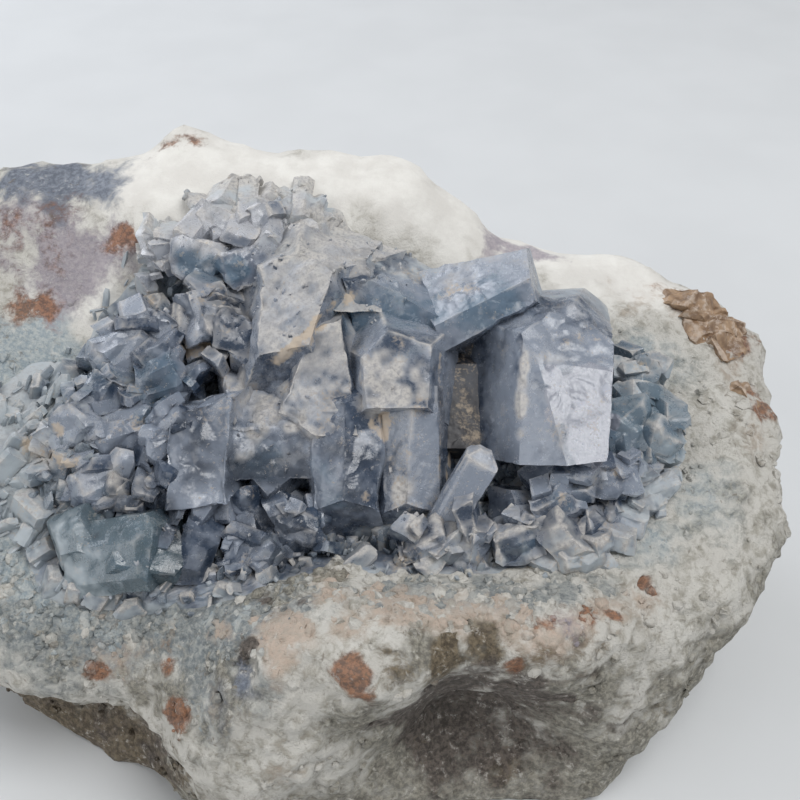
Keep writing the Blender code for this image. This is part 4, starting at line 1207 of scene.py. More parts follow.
def crystal_surface(crystal: Crystal, rings: int, spokes: int, seed: int, rough: float = 0.0,
                    eroded: float = 0.0, broken: float = 0.0) -> Surface:
    """A crystal's skin as rings about its axis, with crisp edges, small chips and growth steps.

    The reach from the middle in a direction is the least of distance / (normal · direction) over the faces. A
    point that lands near an edge or a corner is moved onto it. Then each face is lowered by shallow steps and
    striations that fade out at its edges, and the edges are chipped where noise says so.

    Args:
        crystal: the crystal, in the world's frame.
        rings: rings from its tip to its root.
        spokes: points round each ring.
        seed: fixes its relief.
        rough: how deep its end is broken or overgrown, in mm.
        eroded: how deep all of its faces are weathered, in mm.
        broken: how wide the facets are that its faces are broken into, in mm.

    Returns:
        The closed surface. Its values are "grain" (the crystal's own axes), "tone" (each face is a little
        lighter or darker) and "worn" (1 at the edges).
    """
    middle = crystal.centre()
    normals = crystal.normals
    slack = crystal.distances - normals @ middle
    large = crystal.middle is None
    axis = SLOPE[2] if large else normals[-2]
    east = unit(np.cross(axis, ASLANT))
    north = np.cross(axis, east)
    lean = (np.arange(rings) + 0.5) / rings * math.pi
    turn = np.arange(spokes) / spokes * 2 * math.pi
    lean, turn = np.meshgrid(lean, turn, indexing="ij")
    aside = np.cos(turn)[..., None] * east + np.sin(turn)[..., None] * north
    rays = (np.cos(lean)[..., None] * axis + np.sin(lean)[..., None] * aside).reshape(-1, 3)
    facing = rays @ normals.T
    reaches = np.where(facing > 1e-6, slack / np.maximum(facing, 1e-6), np.inf)
    reach = reaches.min(axis=1)
    square_on = np.take_along_axis(facing, reaches.argmin(axis=1)[:, None], axis=1)[:, 0]
    points = rays * reach[:, None]
    near = reach * math.pi * np.maximum(1.0 / rings, 2 * np.sin(lean).ravel() / spokes)
    points = onto_edges(points, normals, slack, 0.62 * near / np.clip(square_on, 0.45, 1.0))
    gaps = slack - points @ normals.T
    share = np.exp(-(gaps - gaps.min(axis=1, keepdims=True)) / EDGE_BLEND)
    share = share / share.sum(axis=1, keepdims=True)
    edge = np.sort(gaps, axis=1)[:, 1]
    facets = unit(share @ normals)
    world = points + middle + crystal.place
    own = np.stack([points @ east, points @ north, points @ axis], axis=1)
    lines = smooth_noise(own / [0.9, 0.9, 14.0], seed) + 0.6 * smooth_noise(own / [0.45, 0.45, 9.0], seed + 1)
    steps = np.round(1.4 * smooth_noise(own / [4.0, 4.0, 11.0], seed + 2))
    worn = np.maximum(smooth_noise(world / 1.7, seed + 3) - 0.25, 0)
    fade = ease(edge / 0.7)
    up = ease((facets @ axis - 0.2) / 0.4)
    ragged = rough * up * np.maximum(layered_noise(world, [(3.2, 0.7), (1.4, 0.5)], seed + 5) + 0.3, 0)
    lowered = fade * (0.05 * lines + 0.09 * steps) + 0.5 * worn * np.exp(-(edge / 0.45) ** 2) + ragged
    weathered = layered_noise(world, [(6.0, 0.7), (2.6, 0.5)], seed + 8)
    lowered = lowered + eroded * np.maximum(weathered + 0.25, 0)
    splinter = np.zeros(len(world))
    if broken > 0:
        shards, splinter = shard_relief(world, broken, seed + 11, 0.3 if large else 0.6)
        lowered = lowered + 0.1 * broken - shards
    overgrown = spot_mask(world, HOLLOW.ragged, 58)
    wild = overgrown > 0.05
    shards = shard_relief(world[wild], 3.4, 97)[0] + shard_relief(world[wild], 1.4, 98)[0]
    lowered[wild] = lowered[wild] + overgrown[wild] * (0.7 - shards)
    by_face = lattice_value(np.arange(len(normals)), 1, 2, seed)
    tone = 0.8 * share @ by_face + 0.8 * lattice_value(1, 2, 3, seed) + 0.5 * splinter
    points = world - facets * lowered[:, None]
    points, faces = capped(points, rings, spokes)
    rubbed = np.clip(0.5 + 1.2 * smooth_noise(world / 2.6, seed + 6), 0, 1)
    values = {"grain": own * MM, "tone": tone, "worn": rubbed * np.exp(-(edge / 0.4) ** 2)}
    values = {name: np.concatenate([value, value[:1], value[-1:]]) for name, value in values.items()}
    return Surface(points, faces, values)


def onto_edges(points: Array, normals: Array, slack: Array, near: Array) -> Array:
    """Moves each point that is nearly on an edge of a convex crystal onto it, and onto a corner likewise.

    The point on the line of two faces that is nearest to p is p + Nᵀ (N Nᵀ)⁻¹ (d − N p), with the faces'
    normals as the rows of N. With three faces the same formula gives their corner.

    Args:
        points: points on the crystal's faces, from its middle.
        normals: the faces' normals.
        slack: the faces' distances from the middle.
        near: how far each point may move.

    Returns:
        The points.
    """
    order = np.argsort(slack - points @ normals.T, axis=1)
    moved = points
    for count in (2, 3):
        faces = normals[order[:, :count]]
        gap = slack[order[:, :count]] - (faces @ points[..., None])[..., 0]
        square = faces @ faces.transpose(0, 2, 1)
        sound = np.linalg.det(square) > 0.02
        square = np.where(sound[:, None, None], square, np.eye(count))
        step = (faces.transpose(0, 2, 1) @ np.linalg.solve(square, gap[..., None]))[..., 0]
        spot = points + step
        fits = sound & (np.linalg.norm(step, axis=1) < near)
        fits &= ((slack - spot @ normals.T) > -1e-3).all(axis=1)
        moved = np.where(fits[:, None], spot, moved)
    return moved


# The large crystals in the slope's frame, with a semicolon between two: x, y, z of the free end, then the
# normal of each face and its distance in mm.
FACED: dict[str, str] = {
    "right_block": """
    30.3 0 11, .15 .3 .94 0, -.48 .13 .87 2.1, -.88 .1 .47 6.2, .98 -.1 .1 8.2, .75 .05 .66 6.1,
    .17 .52 .84 1.65, .62 .7 .35 11.4, -.35 .85 .4 11.6, 0 .97 .25 15.5, .08 -.99 -.12 11.1, -.38 0 -.92 24
    """,
    "middle_prism": """
    -.7 4.6 8, -.05 .15 .98 0, -.9 0 .43 5.3, .93 0 .37 5.9, -.62 .62 .48 5.4, .25 .87 .42 6.3,
    0 -.95 .3 6.2, 0 0 -1 15;
    1.9 -9.3 7, -.5 .05 .86 1, .35 0 .94 1, -.95 0 .3 4.4, .97 .02 .25 5, 0 1 0 12, 0 -.8 .6 8.8, 0 0 -1 16
    """,
    "centre_column": """
    -10.2 -8.3 8, -.45 .1 .89 1.2, .4 .1 .91 1.2, -.97 0 .2 6, .97 0 .2 6.6, 0 .8 .6 6.8, 0 -.75 .66 9.2,
    0 0 -1 16
    """,
    "left_tower": """
    -19 18 3, -.2 .3 .93 0, -.9 .12 .42 6.8, .8 -.1 .6 4.2, .3 .8 .5 7.5, -.45 .75 .48 7.6, 0 -.6 .8 7,
    0 0 -1 18;
    -13.6 2 6, -.05 .15 .98 0, -.85 .4 .35 6.5, .93 .2 .3 4.6, -.35 .85 .4 10, -.5 -.7 .5 8, 0 -.8 .6 8,
    0 0 -1 18;
    -12 21 -1, .1 .35 .93 0, -.9 0 .4 6.5, .85 .35 .4 6.5, 0 .9 .43 5.5, 0 -.97 .2 4.5, 0 0 -1 14
    """,
    "left_block": """
    -24.2 -4.6 6, 0 .72 .69 0, .05 -.12 .99 0, -.95 .05 .3 7.5, .9 .1 .4 7.6, 0 .97 .2 7.5, 0 -.97 -.2 11,
    0 0 -1 14
    """,
    "back_ridge": """
    0 17.3 -1, -.08 -.18 .98 0, -.93 -.26 .25 9, 0 -.97 .2 6.5, .42 .75 .5 2.4, 0 .9 .43 5.6, .9 .2 .4 7.5,
    0 0 -1 16;
    16.2 16.2 1, 0 -.1 .99 0, -.36 .66 .66 2, .47 -.87 .12 2.4, .93 .25 .25 10, -.9 -.3 .2 9.5,
    -.2 .97 .1 11, 0 0 -1 14
    """,
    "cavity": """
    12.3 -2.1 -3, .05 .25 .97 0, -.97 0 .25 4, .95 .05 .3 4.2, 0 .9 .43 7.3, 0 -.95 .3 7.5, 0 0 -1 10;
    13.9 9.5 -8, -.2 -.25 .95 0, -.97 0 .2 5, .97 .05 .2 6, 0 .97 .2 6, 0 -.97 .2 7, 0 0 -1 8
    """,
    "left_plate": """
    -37.2 -10.6 9, .05 .1 .99 0, -.97 0 .2 5.8, .95 0 .3 5.4, -.25 .95 .2 9, -.7 .7 .3 9.2, .05 -.97 -.2 9,
    0 0 -1 12
    """,
}
# The crystals of the groups: x, y, z of the free end in mm, the direction that it grew in, that of its width,
# its width, depth and length in mm, the cut of its end, and a seed.
GROWN: dict[str, str] = {
    "small_prism": """
    15.8 -9.1 11 .47 .85 .25 1 0 0 6.5 5.5 17 POINT 3
    """,
    "right_cluster": """
    44.2 -4.6 6 .25 -.1 .97 1 .2 0 13 11 15 ROOF 1,
    51 -8.5 6 .35 -.2 .92 1 -.3 0 9 8 13 WEDGE 2,
    47 5 1 .3 .1 .95 1 0 0 9 6 10 BLOCK 4
    """,
    "upper_blades": """
    -39.7 27.5 -7 .1 -.3 .95 1 -.4 0 12 9 18 BLOCK 5,
    -30.5 26 -6 .05 -.3 .95 1 .3 0 10 9 18 BLOCK 6,
    -48.4 28 -8 -.1 -.25 .95 1 -.1 0 8 8 16 CHISEL 7,
    -36.6 34.5 -9 0 -.15 .98 1 -.5 0 12 9 16 WEDGE 8,
    -27.5 34 -8 .05 -.2 .97 1 .2 0 9 10 16 ROOF 9,
    -20.5 30 -10 .1 -.25 .96 .3 1 0 12 7 16 BLOCK 10,
    -20.3 39 -12 .05 0 1 1 .1 0 11 6 14 WEDGE 11
    """,
    "dusty_pair": """
    -39 17 -2 -.05 .15 .98 1 .3 0 13 11 14 ROOF 12,
    -31.5 12.5 -1 .1 .1 .98 1 -.4 0 10 9 12 BLOCK 13
    """,
    "deep_blue": """
    -44.8 4 3 .25 -.15 .95 1 .5 0 11 10 12 WEDGE 14
    """,
    "left_plate": """
    -43 -6.5 8.5 -.1 .1 .95 1 .5 0 9 7 11 WEDGE 38,
    -43.5 -15 9 .15 -.1 .95 1 -.4 0 8 7 11 POINT 39
    """,
    "dark_wedge": """
    -36.5 -27 12 .25 .1 .95 .4 1 0 13 7 12 POINT 15
    """,
    "glassy_block": """
    -53.5 -28.5 14 -.25 -.05 .97 1 .15 0 18 14 14 WEDGE 16,
    -45 -29.5 15 .2 -.2 .96 1 -.25 0 13 12 13 CHISEL 20,
    -61 -26 12 -.4 0 .92 1 .3 0 10 12 11 POINT 21
    """,
    "left_heap": """
    -53 10 1 .3 -.1 .95 1 .6 0 12 8 12 WEDGE 22,
    -57.5 1.5 4 -.1 .2 .97 1 -.4 0 11 8 12 ROOF 23,
    -51.5 -5 6 .3 .1 .95 1 .2 0 10 9 12 CHISEL 24,
    -63 -6 8 -.3 -.1 .95 1 .8 0 12 7 12 BLOCK 25,
    -55.5 -15 9 .1 0 1 1 .5 0 12 8 12 WEDGE 26,
    -46.5 -17.5 9 .35 -.1 .93 .3 1 0 10 6 11 POINT 27,
    -46 13 -2 .15 .05 .98 1 -.7 0 9 8 12 BLOCK 28
    """,
    "front_row": """
    -27 -20.5 9 .1 .1 .99 1 .4 0 11 9 11 ROOF 29,
    -19 -24.5 11 .05 -.2 .98 1 -.3 0 9 8 10 WEDGE 30,
    -27.5 -30 13 -.1 -.3 .95 1 .2 0 10 8 10 CHISEL 31
    """,
    "front_right": """
    4.5 -27 12 -.1 -.2 .98 1 .5 0 9 8 10 WEDGE 32,
    13.5 -28 13 .1 -.25 .96 1 -.2 0 9 9 10 ROOF 33,
    22 -26.5 12 .1 -.2 .97 1 .3 0 10 7 10 BLOCK 34,
    33.5 -29 13 .2 -.25 .94 1 .1 0 11 9 10 WEDGE 35
    """,
    "under_right": """
    29 -20 11 .1 -.2 .95 1 .6 0 10 8 10 WEDGE 17,
    40.5 -15 9 .3 -.1 .95 1 .1 0 14 6 10 BLOCK 18,
    48 -18.5 6 .3 -.1 .95 1 .2 0 10 7 9 CHISEL 36,
    41.5 -23 8 .1 -.3 .95 1 -.3 0 9 7 9 WEDGE 37
    """,
}


@dataclass(frozen=True)
class Marks:
    """The marks on a set of crystals: powder, tan clay, deeper colour with painted shade in the crevices,
    teal glass, pale massive grain, faces that are overgrown with small facets, a painted reflection on a
    face, and painted light that makes faces lighter."""

    dust: tuple[Spot, ...] = ()
    tan: tuple[Spot, ...] = ()
    dark_and_shade: tuple[Spot, ...] = ()
    teal: tuple[Spot, ...] = ()
    pale: tuple[Spot, ...] = ()
    ragged: tuple[Spot, ...] = ()
    painted_sheen: tuple[Spot, ...] = ()
    light: tuple[Spot, ...] = ()


# The marks in the hollow: tables of x, y, z and reach in mm and, where it isn't 1, strength.
HOLLOW = Marks(
    dust=spots("""
    -5 -3 69 4 .8, -1 -2 69 4 .8, 3 -3 69 3.5 .6, -4 -6 66 4 .9, 0 -6 66 4 .9, 4 -6 67 3 .7, 0 -17 52 2.5 .9,
    -29 -2 61 5 .7, -26 -4 61 5 .9, -21 -7 61 4 .7, -27 -8 60 3.5 .8, -19 -7 62 4 .7, -32 3 61 4 .6,
    -17 -9 60 3 .6, -19 17 80 6 .5, -22 14 78 5 .45, -24 11 76 4 .4, -26 6 72 3 .3, -19 -1 67 3 .4,
    -13 -3 66 2.5 .5, -10 -9 63 2.5 .4, -21 -3 65 3 .5, -40 30 83 4 .6, -36 32 84 4 .5, -30 28 79 4 .4,
    -22 35 83 4 .5, -46 35 76 5 .6, -48 39 78 6 .9, -41 40 80 6 .9, -34 42 83 6 .9, -27 41 83 6 .9,
    -19 42 84 7 .9, -10 40 82 7 .9, -4 38 78 7 .9, 5 36 75 7 .9, 14 34 70 6 .9, 22 33 68 6 .9, 32 31 64 6 .9,
    -52 36 74 5 .8, -38 22 76 4 .3, -9 14 75 3 .5, -12 10 74 4 .5, -18 12 76 5 .5, -17 20 80 6 .7,
    -16 34 81 5 .7, -24 32 81 4 .5, 20 4 69 4 .3, 20 0 65 4 .3, 19 -4 61 4 .3, 19 -8 57 4 .3, 23 0 72 2 .6,
    22 -11 61.3 1.6 .9, 10 22 76 7 .5, 2 24 76 6 .5, 20 24 76 6 .4, -43 19 60 4 .7, -68 -10 56 4 .8,
    -64 -10 54 4 .8, -28.8 .8 60.6 3 .8, -25.9 -.7 59.3 3.5 .9, -27.2 -7.1 58.6 3 .7, -22.6 -5.2 59.4 2.8 .7,
    -53 -16 54.6 2.2 .9, -47.3 -14.8 53 1.8 .8, -60.2 8 66 4 .5, -33 13 72 3 .5, -39.7 24.5 78.3 3 .4,
    36 -17 55.5 3 .5, 42.8 5.7 65.3 3 .6, 48 4.5 65.4 4 .7, 5.4 -25.6 48.5 3 .5, 10.9 -25.5 47.1 3 .5,
    32 -26.5 49.6 3 .5
    """) + seam((23.2, -0.5, 72), (22, -8.4, 63.8), 1.5, 0.85),
    tan=spots("""
    -66 -12 57 2.5 .9, -70 -8 56 2.5 .9, -63 -14 57 2.2 .8, -3 -7 61 1.8 .8, -3 -8 58 1.8 .8, 31 2 72 2 .5,
    34 4 72 2.2 .55, 37 4 72 2 .5, 10 -5 49 2.2 .9, 9 -9 49 2 .8, 12 5 59 4 .5, 12 1 56 4 .5,
    14 -3 53.5 4 .5, 10 18 73 4 .6, 14 16 75 3 .6, -43 19 60 3.5 .7, -40 15 60 3 .6, -14 -30 46 2.5 .6,
    -6 -18 52 1.8 .7, -23 -11 56 2 .4, 35 -17 56 3 .4, 44 6 62 4 .4, 52 2 58 4 .35, 56 -8 55 4 .35,
    46 -16 52 4 .3, 40 -28 48 4 .4, 52 -24 46 5 .4, 5 -34 47 4 .45, -8 -30 47 4 .5, 20 -34 47 4 .4,
    -50 10 62 3 .3, -60 -4 56 4 .3, -41.4 10.4 64.2 2.6 .8, -38.6 11.9 64.2 2.6 .8, -33.7 9.3 69.8 2 .5,
    -51 22.7 67.6 3 .6, -62.8 -9.2 60.5 2.2 .8, -60.6 -14.4 56.5 2.2 .7, -48.9 -6.1 59 2 .6,
    -46 -6.5 53 2 .5, -41.4 -8.1 63.2 1.5 .6, -55.5 -10.3 59 2 .5, -39 14.9 72.9 2 .5,
    -43.4 22.5 78.4 1.8 .4, 36.4 -17.3 55.5 3 .5, 40.3 -15.2 56 3 .5, 29 -20.3 53.4 2.5 .5,
    45.8 3.5 65.8 2.5 .5, 0 -26.5 44.2 3 .5, 57 12 54.6 4 .4, 57 0 52 4 .4, 14.5 -27 44.7 3 .5
    """)
    + seam((-10, 13.6, 74.6), (-15.8, 5.4, 73.6), 2, 0.9)
    + seam((-16.5, 4.7, 73.2), (-24, 1.8, 67.2), 1.9, 0.85)
    + seam((8, 3, 68.5), (7, -14, 52), 1.2, 0.65),
    # Painted shade in crevices, niches and recesses between the crystals, with some deep blue and slate
    # colour.
    dark_and_shade=spots("""
    -10 7 72 3 .9, -9 5 70 3 .9, -8 2 68 2.5 .8, -12 10 72 2.5 .7, -30 -12 54 5 1, -26 -12 53 5 1,
    -21 -13 52 5 1, -19 -10 55 4 .9, -29 -10 57 3 .7, -26 -17 50 6 .8, -21 -22 49 5 .8, -18 -24 48 4 .7,
    -27 -22 47 6 .8, -51 -16 52 5 .9, -47 -19 50 5 1, -54 -13 48 5 .7, -42 -22 47 4 1, -36 -28 44 5 .8,
    -37 -26 42 5 .9, -41 16 68 5 .8, -35 16 68 5 .8, -11 -12 58 6 .75, -9 -18 53 5 .65, -37 -11 60 7 .75,
    -37 -15 55 5 .7, -30 14 68 4 .8, -38 12 56 5 .9, -40 0 56 4 .7, -46 0 64 5 .6, -31 -14 52 3.5 .9,
    15 8 62 9 .6, 18 6 66 5 .6, 20 2 58 5 .6, 6 -17 48 3 .6, -4 -12 56 1.5 .7, -17 -5 60 2.5 .5,
    43 1 62 3 .6, 43 -9 56 3 .6, 45 -12 53 3 .5, 36 -17 53 3.5 .6, 26 -10 50 6 .7, -34 -6 52 3 .7,
    -26 -28 42 5 .6, -16 -22 46 4 .5, 2 -22 46 4 .4, -20 -28 46 6 .8, -12 -29 47 5 .7, -48 -14 51 4 .8,
    26 -24 50 5 .6, 38 -20 52 5 .5, 20 -24 48 5 .5, -55 0 62 3 .4, -63 -16 50 3.5 .5
    """),
    teal=spots("""
    -42 23 76 4 .9, -38 22 75 4 .9, -32 21 76 4 .9, -27 15 77 3 .6, -10 10 72 5 .8, 0 12 73 9 .6,
    15 10 74 6 .9, 19 11 75 5 .9, 8 12 70 5 .8, 47 -3 62 8 .75, 54 -8 57 8 .8, -46 1 66 7 .7,
    -51 -30 48 11 .6, -60 5 60 12 .6, -70 -10 52 12 .5, -16 -14 56 5 .6, -12 -19 50 5 .5, 30 -20 54 6 .5,
    24 -26 48 6 .5, -26 -12 55 6 .7
    """),
    pale=spots("""
    -60 -4 57 8 .5, -52 4 60 7 .4, -80 0 54 16 .9, -78 15 58 14 .8, -74 -20 46 14 .8, -62 -34 38 12 .7,
    -68 8 58 10 .4, -68 22 62 10 .8, -58 32 70 10 .8, -48 39 78 9 .9, -34 42 83 9 .9, -19 42 84 10 1,
    -4 38 78 10 1, 14 34 70 9 1, 32 31 64 10 1, 48 22 60 12 .9, 60 8 55 12 .8, 62 -8 51 13 .8,
    54 -20 47 11 .9, 44 -28 46 10 .9, 34 -34 46 9 .9, 22 -35 46 9 .8, 8 -34 46 9 .7, -6 -34 47 9 .7,
    -18 -35 47 8 .6, -32 -36 40 8 .6, -46 -37 35 9 .7, 0 24 78 8 .6, -20 20 82 8 .5
    """),
    ragged=spots("""
    31 8 73 5, 37 9 72 5, 25 9 74 4.5, 32 13 71 6, -19 18 80 8, -13 17 81 7, -24 13 77 5 .7, -26 -5 61 5 .8,
    -20 -7 61 4 .7, 0 22 76 7, 10 24 76 6 .6, -4 -7 66 3 .5, 0 -18 51 3 .6, -32 -1 61 4 .6
    """),
    # A painted reflection: a pale sheen on the bright face of the right block, which keeps it clear of dust.
    painted_sheen=spots("""
    28 -5 70 3, 28 -8 68 3, 28.5 -11 66 3, 31 -6 68 4, 35 -6 68 4, 38 -6 67 4, 31 -9 66 4, 35 -9 66 4.5,
    38 -9 66 4, 32 -12 65 4, 36 -12 64 4.5, 38 -13 63 4, 33 -15 62 4, 36 -16 61 4, 33 -17 60 3
    """),
    # Painted light: these faces are made lighter in colour, standing in for light that falls on them.
    light=spots("""
    0 12.8 74.4 7 1.3, 46 -1 63 8 .9, 15 10.4 73.8 5 .5, -24 -20 50 6 .6, -56 -7 61 7 .8, -66 -12 57 7 .6,
    -60 8 66 6 .5, 0 12 73 7 .6, -40 32 83 7, -33 37 84 7, -46 30 79 7 .9, -17 43 84 7 .8, -30 28 80 6 .6
    """) + seam((20, 6, 70), (20, -10.5, 56.7), 8, 1.2),
)


def coat(surface: Surface, base: float, marks: Marks = HOLLOW) -> Surface:
    """Adds the values that the crystals' finishes read.

    Dust lies on what faces up, along worn edges, in drifts, and where it is marked. Painted shade, a painted
    reflection and painted light are laid where they are marked.

    Args:
        surface: the surface in mm, with "tone" and "worn".
        base: how dusty it is, from 0 to 1.
        marks: the marks of the place that it is in.

    Returns:
        The surface.
    """
    points, normals = surface.points, surface.normals()
    lying = ease((normals[:, 2] - 0.2) / 0.7)
    drift = layered_noise(points, [(7.0, 0.5), (3.0, 0.35)], 90)
    loose = base * (0.3 + 0.45 * lying + 0.9 * surface.values["worn"]) + 0.16 * drift
    marked = spot_mask(points, marks.dust, 44, 0.45)
    surface.values["dust"] = np.clip(np.maximum(loose, marked), 0, 1)
    # Two of these marks stand for light: painted shade in the crevices, and a painted reflection on one face.
    for number, name in enumerate(("tan", "dark_and_shade", "teal", "pale", "painted_sheen")):
        patchy = 0.0 if name == "painted_sheen" else 0.3
        surface.values[name] = spot_mask(points, getattr(marks, name), 48 + 4 * number, patchy)
    clay = layered_noise(points, [(9.0, 0.7), (3.5, 0.6)], 93)
    surface.values["tan"] = np.maximum(surface.values["tan"], np.clip(0.8 * clay - 0.1, 0, 0.4))
    # The painted reflection keeps the dust off its face.
    surface.values["dust"] *= 1 - 0.7 * surface.values["painted_sheen"]
    # Painted light: the marked faces are made lighter.
    surface.values["tone"] = surface.values["tone"] + 1.6 * spot_mask(points, marks.light, 72)
    del surface.values["worn"]
    return surface


@dataclass
class LargeCrystals:
    """The named crystals and groups of crystals, each in its own finish."""

    rings: int = 84
    spokes: int = 112
    small_rings: int = 46
    small_spokes: int = 62
    offshoots: int = 11
    twin_rings: int = 24
    twin_spokes: int = 32

    # How deep the ends are broken and how deep all faces are weathered, how wide the facets are that they are
    # broken into (all in mm, 0 for none), and how dusty they are.
    COATS = {
        "right_block": (0.25, 0.0, 0.0, 0.3), "middle_prism": (0.3, 0.15, 0.0, 0.4),
        "centre_column": (0.3, 0.25, 7.0, 0.15), "left_tower": (0.6, 0.4, 7.0, 0.75),
        "left_block": (0.5, 0.4, 7.0, 0.4), "back_ridge": (0.15, 0.1, 0.0, 0.3),
        "cavity": (0.1, 0.0, 0.0, 0.05), "small_prism": (0.2, 0.1, 0.0, 0.4),
        "right_cluster": (0.2, 0.15, 5.0, 0.4), "upper_blades": (0.3, 0.1, 4.0, 0.45),
        "dusty_pair": (0.3, 0.2, 4.0, 0.5), "deep_blue": (0.2, 0.1, 5.0, 0.25),
        "left_plate": (0.4, 0.3, 6.5, 0.15), "dark_wedge": (0.2, 0.0, 0.0, 0.15),
        "glassy_block": (0.3, 0.3, 0.0, 0.25), "left_heap": (0.2, 0.1, 5.0, 0.35),
        "front_row": (0.2, 0.3, 3.6, 0.25), "front_right": (0.3, 0.7, 4.0, 0.55),
        "under_right": (0.2, 0.4, 4.5, 0.35),
    }
    # These stand alone, without smaller crystals grown together with them.
    ALONE = ("small_prism", "glassy_block")
    # A crystal that would stand higher than this, in mm, is rooted deeper.
    HIGHEST = 85.0

    def build(self, finishes: dict[str, bpy.types.Material]) -> list[Surface]:
        """Makes one piece for each packed crystal node, and returns the skins that druse can grow on."""
        grounds: list[Surface] = []
        for number, (name, (*relief, dusty)) in enumerate(self.COATS.items()):
            parts = []
            for k, crystal in enumerate(Crystal.named(name)):
                large = crystal.middle is None
                mesh = (self.rings, self.spokes) if large else (self.small_rings, self.small_spokes)
                seed = 200 + 40 * number + 5 * k
                alone = large or name in self.ALONE
                old = crystal if alone else crystal.broken(2, seed)
                skins = [crystal_surface(old.in_world(), *mesh, seed, *relief)]
                young = [] if alone else crystal.offshoots(self.offshoots, seed)
                for twin in young:
                    seed += 1
                    twin_mesh = (self.twin_rings, self.twin_spokes)
                    skins.append(crystal_surface(twin.in_world(), *twin_mesh, seed, *relief[:2]))
                for skin in skins:
                    skin.points[:, 2] -= max(0.0, skin.points[:, 2].max() - self.HIGHEST)
                    parts.append(coat(skin, dusty))
            material = finishes.get(name, finishes["plain"])
            whole = joined(parts)
            Piece.make(name, whole, material, "crystal", ("crystal_" + name,))
            if name != "cavity":
                grounds.append(whole)
        return grounds


@dataclass
class Druse:
    """Small crystals that overgrow the large ones: on their ragged faces, in drifts, and round their feet."""

    form: RockForm
    spacing: float = 1.2
    most: int = 1600

    def build(self, skins: list[Surface], material: bpy.types.Material) -> None:
        """Makes them as one piece, at most one in each cell of a grid."""
        points = np.concatenate([skin.points for skin in skins])
        normals = np.concatenate([skin.normals() for skin in skins])
        cells = np.floor(points / self.spacing).astype(np.int64)
        first = np.unique(cells, axis=0, return_index=True)[1]
        points, normals = points[first], normals[first]
        ground = self.form.surface(self.form.direction_of(points))
        height = ((points - ground) * unit(points - self.form.HEART)).sum(axis=1)
        foot = np.exp(-(np.maximum(height - 2.5, 0) / 3.0) ** 2)
        drift = layered_noise(points, [(6.0, 0.7), (2.5, 0.5)], 110)
        wanted = 0.25 * spot_mask(points, HOLLOW.ragged, 58) + 0.4 * foot + 0.1 * (drift > 0.5)
        keep = (height > 1.0) & (chance(len(points), 1, 111) < wanted)
        points, normals = points[keep][:self.most], normals[keep][:self.most]
        count = len(points)
        luck = chances(count, 12, 113)
        size = 0.45 + luck[:, 0] ** 3 * (0.7 + 1.5 * foot[keep][:self.most])
        roots = points - normals * (0.25 + 0.3 * size[:, None])
        surface = prisms(roots, normals, 2.6, size, 0.5 + size * (0.3 + 0.7 * luck[:, 9]), luck)
        Piece.make("druse", coat(surface, 0.75), material, "crystal", crease=20.0)


